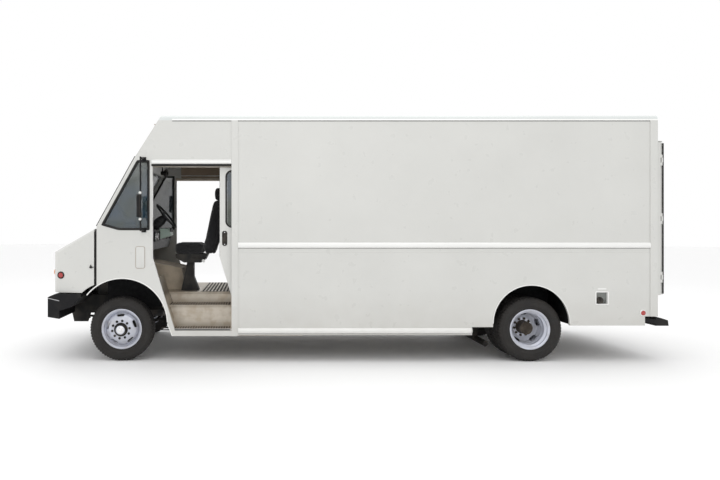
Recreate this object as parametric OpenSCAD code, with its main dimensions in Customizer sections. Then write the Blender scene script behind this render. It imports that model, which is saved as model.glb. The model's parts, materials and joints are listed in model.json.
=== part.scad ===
// Walk-in step van: a forward-tilting nose, an open-sided cab with sliding doors, and a
// long load body on a ladder chassis with single front wheels and twin rear wheels.
// Stations run rearward from the face of the front bumper; the driver's side is -Y.

/* [Overall] */
// Face of the front bumper to the front axle
front_overhang = 940; // [900:5:1100]
// Front axle to rear axle
wheelbase = 5360; // [4300:1:6600]
// Rear axle to the back of the rear step bumper
rear_overhang = 1792; // [1600:1:2300]
// Width of the body over its side skins
body_w = 2390; // [2300:5:2900]
// Top of the roof above the ground
roof_z = 3217; // [2800:1:3900]
// Top of the load floor above the ground
floor_z = 867; // [860:1:900]

/* [Body shell] */
// Thickness of a side wall, skin to liner
wall_t = 40; // [30:1:50]
// Thickness of the roof
roof_t = 36; // [25:1:45]
// Height of the roof rail along each side
roof_rail_h = 67; // [50:1:90]
// Underside of the body skirt above the ground
skirt_z = 357; // [320:1:400]
// Thickness of the load floor
floor_t = 40; // [30:1:50]
// Station of the front edge of the cab
cowl_s = 637; // [620:1:660]
// Height of the windshield's lower edge
cowl_z = 1775; // [1740:1:1800]
// Rearward lean of the windshield per unit of height
glass_lean = 0.553; // [0.50:0.01:0.60]
// Rearward lean of the panel above the windshield per unit of height
header_lean = 0.634; // [0.5:0.01:0.75]

/* [Sliding doors] */
// Station of the front edge of the doorway
door_s = 1365; // [1350:1:1400]
// Width of the doorway above its slanted part
doorway_w = 1027; // [850:1:1240]
// Height at which the front edge of the doorway begins to slant
door_bend_z = 1358; // [1300:1:1420]
// Rearward slant of the lower front edge per unit of height
door_slant = 0.308; // [0.25:0.01:0.35]
// Thickness of a sliding door
door_t = 30; // [20:1:32]
// Gap between a sliding door and the wall it slides behind
door_gap = 10; // [6:1:14]
// How far the open door's front edge shows ahead of the rear door post
door_show = 156; // [100:1:200]

/* [Wheels] */
// Outer radius of a tyre
tyre_r = 419; // [380:1:425]
// Width of a tyre
tyre_w = 245; // [215:1:250]
// Radius of a rim's flange
rim_r = 265; // [245:1:275]
// Distance from a rim's middle to its mounting face
rim_offset = 140; // [135:1:150]
// Middle of a front wheel from the vehicle's centre line
front_wheel_y = 995; // [980:1:1020]
// Middle of the dual wheels' mating faces from the centre line
dual_y = 898; // [890:1:920]
// Radius of a wheel arch in the body side
arch_r = 590; // [560:1:600]
// Radius of the rear wheel arch in the body side
rear_arch_r = 500; // [480:1:560]

/* [Chassis] */
// Outer face of a frame rail from the centre line
rail_y = 430; // [420:1:440]
// Width of a frame rail's flanges
rail_w = 65; // [55:1:80]
// Height of a frame rail
rail_h = 220; // [180:1:240]
// Kingpin from the centre line
kingpin_y = 860; // [850:1:870]
// Radius of a kingpin
kingpin_r = 20; // [15:1:24]
// Radius of a wheel spindle
spindle_r = 32; // [28:1:36]
// Running clearance of a pin or spindle in its bore
fit = 0.5; // [0.3:0.1:1]

/* [Hidden] */
$fn = 64;

// Stations and levels that several pieces share
overall_len = front_overhang + wheelbase + rear_overhang;
front_axle_s = front_overhang;
rear_axle_s = front_overhang + wheelbase;
half_w = body_w/2;
inner_y = half_w - wall_t;
wall_top_z = roof_z - roof_rail_h;
floor_stack = 67;
frame_top_z = floor_z - floor_stack;
frame_bottom_z = frame_top_z - rail_h;
rear_gear_len = 162;
body_end_s = overall_len - rear_gear_len;
door_post_s = door_s + doorway_w;
header_drop = 663;
header_z = roof_z - header_drop;
glass_top_drop = 559;
glass_top_z = roof_z - glass_top_drop;
glass_top_s = cowl_s + (glass_top_z - cowl_z)*glass_lean;
roof_s = glass_top_s + (wall_top_z - glass_top_z)*header_lean;
arch_s = front_axle_s + 28;
arch_z = 505;
rear_arch_s = rear_axle_s - 8;
rear_arch_z = 507;
wheelhouse_y = 606;
step_y = 675;
sill_top_z = 415;
tail_z = 600;

// Sliding door: closed at the doorway, stored open beside the body wall
door_y = inner_y - door_gap;
door_in_y = door_y - door_t;
door_bottom_z = sill_top_z + 7;
door_top_z = header_z - 13;
door_travel = doorway_w - door_show;
door_lap = 40;
door_len = doorway_w + door_lap;
pocket_end_s = door_s + door_travel + door_len + 25;
pocket_y = door_in_y - 13;

// Extrudes an outline of stations and heights from y0 to y1
module across(y0, y1) {
    translate([0, y1, 0]) rotate([90, 0, 0]) linear_extrude(y1 - y0) children();
}

// Extrudes an outline of widths and heights from station s0 to s1
module along(s0, s1) {
    translate([s0, 0, 0]) rotate([90, 0, 90]) linear_extrude(s1 - s0) children();
}

// Puts stations and heights given from the bumper face into the vehicle's frame
module from_front() {
    translate([-overall_len/2, 0, 0]) children();
}

module both_sides() {
    children();
    mirror([0, 1, 0]) children();
}

// Block between two corners
module block(a, b) {
    translate(a) cube(b - a);
}

// Turns a piece that lies along +Z to point outboard on the driver's side
module outboard(s, y, z) {
    translate([s, -y, z]) rotate([90, 0, 0]) children();
}

// Straight round bar between two points
module bar(a, b, r) {
    d = b - a;
    translate(a) rotate([0, acos(d.z/norm(d)), atan2(d.y, d.x)]) cylinder(r = r, h = norm(d));
}

// Rectangle with round corners between two corners of an outline
module round_rect(a, b, r) {
    translate(a + [r, r]) offset(r) square(b - a - 2*[r, r]);
}

// Section of a frame rail, open toward the centre line
module rail_section(web_t = 10) {
    difference() {
        translate([-rail_y, frame_bottom_z]) square([rail_w, rail_h]);
        translate([-rail_y + web_t, frame_bottom_z + web_t]) square([rail_w, rail_h - 2*web_t]);
    }
}

// Two frame rails, with deep horn plates at their front ends
rail_start_s = 60;
rail_end_s = overall_len - 330;
module frame_rails() {
    horn_t = 12;
    horn_h = 165;
    color("dimgray") from_front() both_sides() {
        along(rail_start_s, rail_end_s) rail_section();
        across(-rail_y, -rail_y + horn_t)
            polygon([[rail_start_s, frame_bottom_z + 60], [rail_start_s + 50, frame_bottom_z - horn_h],
                     [rail_start_s + 250, frame_bottom_z - horn_h], [rail_start_s + 305, frame_bottom_z],
                     [rail_start_s + 305, frame_bottom_z + 60]]);
    }
}

// Separate bars between the rails, and outriggers that carry the body's sides
module cross_members() {
    cross_t = 70;
    outrigger_t = 50;
    cross_s = [rail_start_s + 60, door_post_s - 250, (door_s + rear_axle_s)/2,
               rear_axle_s - 700, rear_axle_s + 520, rail_end_s - cross_t];
    color("dimgray") from_front() {
        for (s = cross_s)
            block([s, -rail_y + 10, frame_top_z - 100], [s + cross_t, rail_y - 10, frame_top_z - 12]);
        for (s = [door_post_s + 300 : 900 : rear_axle_s - 800])
            both_sides() block([s, -pocket_y + 60, frame_top_z - 90],
                               [s + outrigger_t, -rail_y, frame_top_z]);
    }
}

// Engine as one plain block between the front wheels
module engine_block() {
    color("gray") from_front()
        block([front_axle_s - 520, -290, frame_bottom_z - 70], [front_axle_s + 215, 290, 1110]);
}

module radiator() {
    color("black") from_front()
        block([front_axle_s - 700, -330, frame_bottom_z + 20], [front_axle_s - 620, 330, 1250]);
}

// Gearbox, propeller shaft and its centre bearing
module driveline() {
    gearbox_s = front_axle_s + 215;
    shaft_s = gearbox_s + 760;
    middle_s = (shaft_s + rear_axle_s)/2;
    yoke_t = 14;
    axle_nose_s = rear_axle_s - 300 - yoke_t;
    shaft_z = frame_bottom_z + 60;
    color("silver") from_front() {
        translate([gearbox_s, 0, shaft_z]) rotate([0, 90, 0]) cylinder(r = 210, h = 180);
        translate([gearbox_s + 180, 0, shaft_z]) rotate([0, 90, 0]) cylinder(r = 150, h = 480);
        translate([gearbox_s + 660, 0, shaft_z]) rotate([0, 90, 0]) cylinder(r = 80, h = 100);
        bar([shaft_s - 5, 0, shaft_z], [middle_s, 0, shaft_z - 10], 45);
        bar([middle_s, 0, shaft_z - 10], [axle_nose_s, 0, tyre_r], 45);
        translate([axle_nose_s, 0, tyre_r]) rotate([0, 90, 0]) cylinder(r = 70, h = yoke_t);
        difference() {
            translate([middle_s - 25, 0, shaft_z - 10]) rotate([0, 90, 0]) cylinder(r = 85, h = 50);
            block([middle_s - 26, -90, shaft_z + 60], [middle_s + 26, 90, shaft_z + 90]);
        }
    }
}

// Drop beam with a kingpin eye at each end
module front_axle() {
    beam_w = 80;
    eye_h = 90;
    pad_z = tyre_r - 39;
    color("dimgray") from_front() difference() {
        union() {
            across(-560, 560) translate([front_axle_s - beam_w/2, pad_z - 75]) square([beam_w, 75]);
            both_sides() {
                along(front_axle_s - beam_w/2, front_axle_s + beam_w/2)
                    polygon([[-500, pad_z - 75], [-500, pad_z], [-700, tyre_r + 30],
                             [-kingpin_y, tyre_r + 30], [-kingpin_y, tyre_r - 40], [-720, tyre_r - 40],
                             [-560, pad_z - 75]]);
                translate([front_axle_s, -kingpin_y, tyre_r - eye_h/2]) cylinder(r = 42, h = eye_h);
            }
        }
        both_sides() translate([front_axle_s, -kingpin_y, tyre_r - 60])
            cylinder(r = kingpin_r + fit, h = 120);
    }
}

// Curved leaf pack: an arc sagging below its eyes, with a clamp stack at the axle
module leaf_pack(s, span, sag, low_z, leaf_t, hanger_w) {
    r = (span*span/4 + sag*sag)/(2*sag);
    across(-rail_y + 14, -rail_y + rail_w + 14) {
        difference() {
            intersection() {
                translate([s, low_z + r]) circle(r, $fn = 180);
                translate([s - span/2, low_z]) square([span, sag]);
            }
            translate([s, low_z + r]) circle(r - leaf_t, $fn = 180);
        }
        // Hangers at both eyes
        for (end = [-1, 1])
            translate([s + end*span/2 - hanger_w/2, low_z + sag - leaf_t - 10])
                square([hanger_w, frame_bottom_z - low_z - sag + leaf_t + 10]);
    }
}

module leaf_springs() {
    front_low_z = tyre_r - 39;
    rear_low_z = tyre_r + 65;
    color("dimgray") from_front() both_sides() {
        leaf_pack(front_axle_s, 1300, 120, front_low_z, 34, 70);
        leaf_pack(rear_axle_s, 1240, 70, rear_low_z, 50, 56);
    }
}

// Banjo axle with a spindle at each end
module rear_axle() {
    tube_r = 65;
    color("dimgray") from_front() translate([rear_axle_s, 0, tyre_r]) {
        rotate([90, 0, 0]) cylinder(r = tube_r, h = 2*(dual_y - 215), center = true);
        rotate([90, 0, 0]) cylinder(r = spindle_r, h = 2*(dual_y + 92), center = true);
        translate([-20, 0, 0]) rotate([90, 0, 0]) cylinder(r = 190, h = 170, center = true);
        translate([-300, 0, 0]) rotate([0, 90, 0]) cylinder(r = 95, h = 200);
        both_sides() outboard(0, 645, 0) cylinder(r = 150, h = 10);
    }
}

module fuel_tank() {
    tank_s = rear_axle_s + 640;
    color("dimgray") from_front()
        along(tank_s, tank_s + 700) round_rect([-340, 400], [340, frame_top_z - 130], 40);
}

// Pipe from the engine to a silencer, then out ahead of the left rear wheel
module exhaust() {
    pipe_r = 38;
    joint_r = 41;
    pipe_y = -rail_y - 110;
    pipe_z = frame_bottom_z - 10;
    start_s = front_axle_s + 620;
    silencer_s = door_post_s + 500;
    turn_s = rear_axle_s - 790;
    drop = [turn_s + 130, pipe_y - 110, pipe_z - 285];
    color("darkgray") from_front() {
        bar([start_s, pipe_y, pipe_z], [silencer_s + 10, pipe_y, pipe_z], pipe_r);
        bar([silencer_s, pipe_y, pipe_z], [silencer_s + 900, pipe_y, pipe_z], 110);
        bar([silencer_s + 890, pipe_y, pipe_z], [turn_s, pipe_y, pipe_z], pipe_r);
        translate([turn_s, pipe_y, pipe_z]) sphere(joint_r);
        bar([turn_s, pipe_y, pipe_z], drop, pipe_r);
        translate(drop) sphere(joint_r);
        bar(drop, [turn_s + 215, -half_w + 85, drop.z - 55], pipe_r);
        // Strap from the body's side
        block([turn_s + 130, -half_w + 300, drop.z - 30], [turn_s + 190, -half_w + 308, skirt_z + 118]);
        block([turn_s + 130, -inner_y, skirt_z + 108], [turn_s + 190, -half_w + 300, skirt_z + 118]);
        // Hanger arms from the rail
        for (s = [start_s + 150, silencer_s + 1000])
            block([s, pipe_y - 10, pipe_z + 30], [s + 30, -rail_y, pipe_z + 60]);
    }
}

// Steel channel with deep end caps and a shelf that runs back under the nose
module front_bumper() {
    cap_s = 150;
    color("black") from_front() {
        difference() {
            across(-half_w + 5, half_w - 5)
                polygon([[0, 591], [0, 851], [98, 893], [430, 888], [430, 850], [290, 715],
                         [cap_s, 672], [cap_s, 566]]);
            across(-rail_y - 90, rail_y + 90)
                polygon([[40, 550], [40, 838], [105, 866], [450, 862], [450, 550]]);
            block([200, -rail_y - 90, 800], [440, rail_y + 90, 900]);
            plate_holes();
        }
        // Brackets to the frame rails
        both_sides() {
            block([40, -rail_y, frame_bottom_z + 20], [rail_start_s, -rail_y + 60, frame_top_z - 10]);
            hood_hinge_pin();
        }
    }
}

// Pin between two plates that carries a hinge arm of the nose
hood_hinge_s = 62;
hood_hinge_z = 915;
hood_arm_y = 560;
hood_arm_t = 30;
hood_pin_r = 8;
module hood_hinge_pin() {
    plate_t = 10;
    for (y = [-hood_arm_y - 1 - plate_t, -hood_arm_y + hood_arm_t + 1])
        block([hood_hinge_s - 14, y, 845], [hood_hinge_s + 14, y + plate_t, hood_hinge_z + 12]);
    translate([hood_hinge_s, -hood_arm_y + hood_arm_t + plate_t, hood_hinge_z]) rotate([90, 0, 0])
        cylinder(r = hood_pin_r, h = hood_arm_t + 2*plate_t);
}

// Two plain holes for a licence plate
plate_hole_r = 3.5;
plate_hole_gap = 178;
plate_z = 690;
module plate_holes() {
    for (side = [-1, 1])
        translate([-1, side*plate_hole_gap/2, plate_z]) rotate([0, 90, 0])
            cylinder(r = plate_hole_r, h = 60);
}

module rear_bumper() {
    bumper_z = 474;
    bumper_h = 117;
    step_s = overall_len - 169;
    step_arm_s = overall_len - 325;
    color("black") from_front() {
        across(-half_w + 25, half_w - 25)
            polygon([[step_s, bumper_z], [step_s, bumper_z + bumper_h],
                     [step_s + 60, bumper_z + bumper_h - 12],
                     [overall_len - 8, bumper_z + 72], [overall_len, bumper_z]]);
        // End arms that reach forward under the body's sides, and brackets to the frame
        both_sides() {
            across(-half_w + 25, -half_w + 125)
                polygon([[step_arm_s, bumper_z + 50], [step_arm_s, bumper_z + 78],
                         [step_arm_s + 45, bumper_z + 90],
                         [step_s, bumper_z + 84], [step_s, bumper_z + 26]]);
            block([step_s - 100, -rail_y, bumper_z + 14], [step_s, -rail_y + rail_w, bumper_z + 84]);
            block([step_s - 160, -rail_y, bumper_z + 14], [step_s - 100, -rail_y + rail_w, frame_bottom_z]);
        }
    }
}

// Tyre: an open ring of rubber around its own axis
module tyre() {
    side = tyre_w/2;
    bead_r = rim_r - 18;
    color("black") rotate_extrude($fn = 128) polygon([
        [bead_r, -82], [rim_r + 6, -98], [rim_r + 60, -side + 2], [tyre_r - 70, -side],
        [tyre_r - 25, -side + 14], [tyre_r - 4, -side + 32], [tyre_r, -side + 50],
        [tyre_r, side - 50], [tyre_r - 4, side - 32], [tyre_r - 25, side - 14],
        [tyre_r - 70, side], [rim_r + 60, side - 2], [rim_r + 6, 98], [bead_r, 82],
        [bead_r, 62], [rim_r + 30, side - 22], [tyre_r - 40, side - 26], [tyre_r - 22, side - 50],
        [tyre_r - 22, -side + 50], [tyre_r - 40, -side + 26], [rim_r + 30, -side + 22], [bead_r, -62]]);
}

// Rim with its disc dished to +Z or -Z, five hand holes and a bore
module rim(dish, bore_r) {
    well_r = rim_r - 43;
    seat_r = rim_r - 18;
    face = rim_offset;
    color("lightgray") difference() {
        union() {
            rotate_extrude($fn = 128) polygon([
                [rim_r, -97], [rim_r - 10, -90], [seat_r, -82], [seat_r, -60], [well_r, -40],
                [well_r, 40], [seat_r, 60], [seat_r, 82], [rim_r - 10, 90], [rim_r, 97],
                [rim_r - 10, 99], [seat_r - 10, 86], [seat_r - 10, 62], [well_r - 10, 42],
                [well_r - 10, -42], [seat_r - 10, -62], [seat_r - 10, -86], [rim_r - 10, -99]]);
            mirror([0, 0, dish > 0 ? 0 : 1]) rotate_extrude($fn = 128) polygon([
                [well_r - 5, 12], [well_r - 12, 55], [well_r - 32, face - 42], [well_r - 66, face - 14],
                [well_r - 92, face], [bore_r, face], [bore_r, face - 12], [well_r - 96, face - 12],
                [well_r - 74, face - 25], [well_r - 43, face - 50], [well_r - 24, 50],
                [well_r - 15, 12]]);
        }
        for (k = [0 : 4])
            rotate(94 + 72*k) translate([well_r - 36, 0, dish > 0 ? 48 : -face]) {
                for (side = [-1, 1]) translate([0, 32*side, 0]) cylinder(r = 19, h = face - 48);
                translate([-19, -32, 0]) cube([38, 64, face - 48]);
            }
    }
}

// Front wheel: rim, hub and brake drum that turn on the knuckle's spindle
module front_rim() {
    hub_r = 60;
    rim(1, hub_r);
    color("dimgray") {
        difference() {
            union() {
                translate([0, 0, -40]) cylinder(r = hub_r, h = rim_offset + 80);
                difference() {
                    translate([0, 0, -64]) cylinder(r = 195, h = 90);
                    translate([0, 0, -65]) cylinder(r = 180, h = 80);
                }
            }
            translate([0, 0, -41]) cylinder(r = spindle_r + fit, h = rim_offset + 61);
        }
    }
}

// Twin rims on one hub; both discs meet at the middle
module rear_rims() {
    hub_r = 80;
    translate([0, 0, rim_offset]) rim(-1, hub_r);
    translate([0, 0, -rim_offset]) rim(1, hub_r);
    color("dimgray") difference() {
        union() {
            translate([0, 0, -200]) cylinder(r = hub_r, h = 330);
            translate([0, 0, -210]) cylinder(r = 185, h = 140);
        }
        translate([0, 0, -220]) cylinder(r = spindle_r + fit, h = 320);
        translate([0, 0, -220]) cylinder(r = 170, h = 130);
    }
}

module front_tyre_left() { from_front() outboard(front_axle_s, front_wheel_y, tyre_r) tyre(); }
module front_tyre_right() { mirror([0, 1, 0]) front_tyre_left(); }
module front_rim_left() { from_front() outboard(front_axle_s, front_wheel_y, tyre_r) front_rim(); }
module front_rim_right() { mirror([0, 1, 0]) front_rim_left(); }
module rear_tyres_left() {
    from_front() for (side = [-1, 1])
        outboard(rear_axle_s, dual_y + side*rim_offset, tyre_r) tyre();
}
module rear_tyres_right() { mirror([0, 1, 0]) rear_tyres_left(); }
module rear_rims_left() { from_front() outboard(rear_axle_s, dual_y, tyre_r) rear_rims(); }
module rear_rims_right() { mirror([0, 1, 0]) rear_rims_left(); }

// Steering arm's end behind and inboard of the kingpin
arm_s = 185;
arm_y = 790;
arm_z = tyre_r - 75;
// Steering knuckle: forked over the axle's eye, with a spindle and a steering arm
module knuckle_left() {
    ear_h = 46;
    eye_half = 50;
    plate_y = kingpin_y + 50;
    spindle_end_y = front_wheel_y + rim_offset + 10;
    color("gray") from_front() translate([front_axle_s, 0, 0]) {
        for (z = [tyre_r + eye_half, tyre_r - eye_half - ear_h])
            translate([0, -kingpin_y, z]) cylinder(r = 42, h = ear_h);
        for (z = [tyre_r + eye_half, tyre_r - eye_half - ear_h])
            block([-38, -plate_y, z], [38, -kingpin_y, z + ear_h]);
        translate([0, -kingpin_y, tyre_r - eye_half - 10]) cylinder(r = kingpin_r, h = 2*eye_half + 20);
        block([-60, -plate_y - 24, tyre_r - eye_half - ear_h], [60, -plate_y, tyre_r + eye_half + ear_h]);
        outboard(0, plate_y, tyre_r) cylinder(r = spindle_r, h = spindle_end_y - plate_y);
        // Steering arm behind and inboard of the kingpin
        bar([0, -kingpin_y, arm_z], [arm_s, -arm_y, arm_z], 16);
        translate([arm_s, -arm_y, arm_z - 16]) cylinder(r = 26, h = 32);
    }
}
module knuckle_right() { mirror([0, 1, 0]) knuckle_left(); }

// Track rod under the steering arms; its ends are left open so that it can slide straight
module tie_rod() {
    rod_z = arm_z - 52;
    color("gray") from_front() translate([front_axle_s + arm_s, 0, rod_z]) {
        rotate([90, 0, 0]) cylinder(r = 17, h = 2*arm_y, center = true);
        both_sides() translate([0, -arm_y, -20]) cylinder(r = 26, h = 40);
    }
}

// Outline of the side window ahead of the door
module quarter_outline() {
    front_s = cowl_s + 58;
    low_z = cowl_z - 53;
    top_z = glass_top_z - 26;
    polygon([[front_s, cowl_z + 12], [front_s + 228, low_z], [door_s - 39, low_z],
             [door_s - 39, top_z], [front_s + (top_z - cowl_z - 12)*glass_lean, top_z]]);
}

// Outline of the doorway, with the slanted lower front edge
module doorway_outline(low_z, top_z) {
    polygon([[door_s, top_z], [door_s, door_bend_z],
             [door_s + (door_bend_z - low_z)*door_slant, low_z],
             [door_post_s + 1, low_z], [door_post_s + 1, top_z]]);
}

module arch_outline(r) {
    translate([arch_s, arch_z]) circle(r, $fn = 128);
}

// Cab side: pillars, panel over the wheel, doorway and the panel above it
module cab_sides() {
    foot_s = door_s + 258;
    foot_z = skirt_z - 12;
    color("gainsboro") from_front() both_sides() across(-half_w, -inner_y) difference() {
        polygon([[cowl_s, arch_z], [cowl_s, cowl_z], [glass_top_s, glass_top_z], [roof_s, wall_top_z],
                 [door_post_s, wall_top_z], [door_post_s, foot_z], [foot_s, foot_z],
                 [arch_s + arch_r, arch_z]]);
        doorway_outline(sill_top_z, header_z);
        arch_outline(arch_r);
        quarter_outline();
    }
}

// Firewall, windshield frame and the sloped panel above it, across the cab
front_t = 45;
shield_low_z = cowl_z + 45;
shield_top_z = glass_top_z - 55;
shield_half_w = inner_y - 75;
function slope_s(z) = cowl_s + (z - cowl_z)*glass_lean;
module shield_outline(inset, t) {
    polygon([[slope_s(shield_low_z) + inset, shield_low_z], [slope_s(shield_top_z) + inset, shield_top_z],
             [slope_s(shield_top_z) + inset + t, shield_top_z],
             [slope_s(shield_low_z) + inset + t, shield_low_z]]);
}
module cab_front() {
    color("gainsboro") from_front() difference() {
        across(-inner_y, inner_y)
            polygon([[cowl_s, frame_top_z + 30], [cowl_s, cowl_z], [glass_top_s, glass_top_z],
                     [roof_s, wall_top_z], [roof_s + front_t, wall_top_z],
                     [glass_top_s + front_t, glass_top_z], [cowl_s + front_t, cowl_z],
                     [cowl_s + front_t, frame_top_z + 30]]);
        across(-shield_half_w, shield_half_w) shield_outline(-1, front_t + 2);
        // Opening for the engine
        block([cowl_s - 1, -335, frame_top_z], [cowl_s + front_t + 1, 335, 1190]);
        both_sides() across(-half_w, -wheelhouse_y + 7) arch_outline(arch_r + 11);
    }
}

module cab_glass() {
    color([0.5, 0.6, 0.6, 0.5]) from_front() {
        across(-shield_half_w, shield_half_w) shield_outline(8, 7);
        both_sides() across(-half_w + 18, -half_w + 24) quarter_outline();
    }
}

// Arched liners over the front wheels, each with an inner wall above the frame
module front_wheelhouses() {
    liner_t = 8;
    color("black") from_front() both_sides() intersection() {
        union() {
            across(-inner_y, -wheelhouse_y) difference() {
                arch_outline(arch_r + liner_t);
                arch_outline(arch_r);
            }
            across(-wheelhouse_y, -wheelhouse_y + 6) arch_outline(arch_r + liner_t);
        }
        union() {
            block([cowl_s, -half_w, frame_bottom_z + 70], [arch_s + arch_r + 10, -wheelhouse_y + 10, 1200]);
            block([arch_s + 300, -half_w, skirt_z + 80], [arch_s + arch_r + 10, -wheelhouse_y, 1200]);
        }
    }
}

// Load floor with cross sills, cut around the engine, the steps and the wheelhouses
module floor_deck() {
    low_z = floor_z - floor_t;
    sill_z = frame_top_z;
    rear_s = body_end_s - 45;
    well_s = door_post_s - 6;
    color("silver") from_front() difference() {
        union() {
            block([cowl_s + front_t, -wheelhouse_y + 6, low_z], [door_s + 150, wheelhouse_y - 6, floor_z]);
            block([door_s + 150, -step_y, low_z], [well_s, step_y, floor_z]);
            block([well_s, -pocket_y, low_z], [pocket_end_s, pocket_y, floor_z]);
            block([pocket_end_s, -inner_y, low_z], [rear_s, inner_y, floor_z]);
            for (s = [door_post_s + 40 : 400 : rear_s - 60])
                block([s, -pocket_y, sill_z], [s + 50, pocket_y, low_z]);
        }
        block([cowl_s, -320, sill_z - 1], [door_s + 260, 320, floor_z + 1]);
        both_sides() block([rear_arch_s - rear_arch_r - 14, -half_w, sill_z - 1],
                           [rear_arch_s + rear_arch_r + 14, -wheelhouse_y + 6, floor_z + 1]);
    }
}

// Stair well behind each doorway: two treads, risers and both end walls
module step_wells() {
    sheet = 6;
    low_z = sill_top_z + 14;
    mid_z = floor_z - 146;
    nose_y = half_w - 240;
    front_s = door_s + (door_bend_z - low_z)*door_slant - 12;
    end_s = door_post_s - 6;
    lip_t = 30;
    liner_top_z = arch_z + arch_r + 5;
    color("tan") from_front() both_sides() {
        difference() {
            along(door_s + 20, end_s)
                polygon([[-pocket_y, low_z], [-nose_y, low_z], [-nose_y, mid_z - lip_t],
                         [-nose_y - 12, mid_z - lip_t], [-nose_y - 12, mid_z], [-step_y - sheet, mid_z],
                         [-step_y - sheet, floor_z - lip_t], [-step_y - 14, floor_z - lip_t],
                         [-step_y - 14, floor_z], [-step_y, floor_z], [-step_y, mid_z - sheet],
                         [-nose_y + sheet, mid_z - sheet], [-nose_y + sheet, low_z - sheet],
                         [-pocket_y, low_z - sheet]]);
            // The front follows the slant of the doorway
            across(-half_w, 0) polygon([[door_s, door_bend_z], [door_s - 400, door_bend_z],
                                        [door_s - 400, 300], [front_s + 40, 300], [front_s, low_z]]);
        }
        // Slanted front wall, up to the top of the wheel liner
        across(-pocket_y, -step_y)
            polygon([[front_s, low_z - sheet], [front_s - 8, low_z - sheet],
                     [front_s - 8 - (liner_top_z - low_z)*door_slant, liner_top_z],
                     [front_s - (liner_top_z - low_z)*door_slant, liner_top_z], [front_s, low_z]]);
        block([end_s, -pocket_y, low_z - sheet], [end_s + sheet, -step_y, floor_z - floor_t]);
    }
}

// Upper rail and sill guide of each sliding door
module door_tracks() {
    color("silver") from_front() both_sides() {
        block([door_s - 10, -inner_y, door_top_z + 7], [pocket_end_s, -door_in_y + 16, door_top_z + 47]);
        block([door_s + 310, -inner_y, skirt_z - 12], [pocket_end_s, -pocket_y - 4, sill_top_z]);
    }
}

// Side wall of the load body with its posts, rub rails, wheel arch and filler recess
module body_sides() {
    step_up_s = rear_axle_s - 782;
    behind_s = rear_axle_s + 492;
    tail_s = body_end_s - 163;
    foot_z = skirt_z - 12;
    ahead_z = 461;
    behind_z = 481;
    front_post_s = door_post_s + 84;
    rear_post_s = body_end_s - 98;
    proud = 8;
    rail_r = 42;
    rail_sink = 22;
    belt_z = 1526;
    low_rail_z = skirt_z + 56;
    filler_s = rear_axle_s + 830;
    filler_z = 760;
    filler = 156;
    color("gainsboro") from_front() difference() {
        both_sides() {
            across(-half_w, -inner_y) difference() {
                polygon([[door_post_s, foot_z], [door_post_s, wall_top_z], [body_end_s, wall_top_z],
                         [body_end_s, tail_z], [tail_s, tail_z], [tail_s, behind_z],
                         [behind_s, behind_z], [behind_s, ahead_z], [step_up_s, ahead_z],
                         [step_up_s, skirt_z], [front_post_s, skirt_z], [front_post_s, foot_z]]);
                translate([rear_arch_s, rear_arch_z]) circle(rear_arch_r, $fn = 128);
                translate([rear_arch_s - rear_arch_r, ahead_z - 60])
                    square([2*rear_arch_r, rear_arch_z - ahead_z + 60]);
            }
            block([door_post_s, -half_w - proud, foot_z], [front_post_s, -half_w, wall_top_z]);
            block([rear_post_s, -half_w - proud, tail_z], [body_end_s, -half_w, wall_top_z]);
            intersection() {
                union() {
                    translate([front_post_s, -half_w + rail_sink, belt_z]) rotate([0, 90, 0])
                        cylinder(r = rail_r, h = rear_post_s - front_post_s);
                    translate([front_post_s, -half_w + rail_sink, low_rail_z]) rotate([0, 90, 0])
                        cylinder(r = rail_r, h = step_up_s - front_post_s);
                }
                block([door_s, -half_w - rail_r, 0], [body_end_s, -half_w, roof_z]);
            }
        }
        // Recess for the fuel filler, on the driver's side only
        block([filler_s, -half_w - 1, filler_z], [filler_s + filler, -inner_y - 5, filler_z + filler]);
    }
}

// Boxed liners over the rear wheels
module rear_wheelhouses() {
    sheet = 6;
    top_z = rear_arch_z + rear_arch_r + 14;
    s0 = rear_arch_s - rear_arch_r - 8;
    s1 = rear_arch_s + rear_arch_r + 8;
    color("black") from_front() both_sides() difference() {
        block([s0, -inner_y, 495], [s1, -wheelhouse_y, top_z]);
        block([s0 + sheet, -inner_y - 1, 490], [s1 - sheet, -wheelhouse_y - sheet, top_z - sheet]);
    }
}

// Roof tray with rounded edges, its front cut to the slope of the header
module roof() {
    edge_r = 45;
    color("whitesmoke") from_front() difference() {
        along(roof_s, body_end_s) difference() {
            union() {
                translate([-half_w, wall_top_z]) square([2*half_w, roof_rail_h - edge_r]);
                translate([-half_w + edge_r, wall_top_z]) square([2*(half_w - edge_r), roof_rail_h]);
                for (side = [-1, 1])
                    translate([side*(half_w - edge_r), roof_z - edge_r]) circle(edge_r);
            }
            translate([-inner_y, wall_top_z - 1]) square([2*inner_y, roof_rail_h - roof_t + 1]);
            translate([-half_w, wall_top_z - edge_r]) square([2*half_w, edge_r]);
        }
        across(-half_w - 1, half_w + 1)
            polygon([[roof_s, wall_top_z], [roof_s + roof_rail_h*header_lean, roof_z],
                     [roof_s, roof_z + 10], [roof_s - 10, roof_z]]);
    }
}

// Rear wall around the doorway, with the raised frame that the doors close on
rear_low_z = 878;
rear_top_z = roof_z - 351;
rear_door_half = half_w - 55;
rear_hinge_y = rear_door_half + 19;
rear_door_s = body_end_s + 61;
rear_door_t = 45;
module rear_frame() {
    lap = 40;
    opening = rear_door_half - lap;
    color("gainsboro") from_front() difference() {
        union() {
            block([body_end_s - 45, -inner_y, tail_z], [body_end_s, inner_y, wall_top_z]);
            block([body_end_s, -rear_hinge_y - 15, rear_low_z - 4],
                  [rear_door_s - 6, rear_hinge_y + 15, rear_top_z + 4]);
            rear_hinge_pins();
        }
        block([body_end_s - 50, -opening, rear_low_z + 20], [rear_door_s, opening, rear_top_z - lap]);
    }
}

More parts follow.
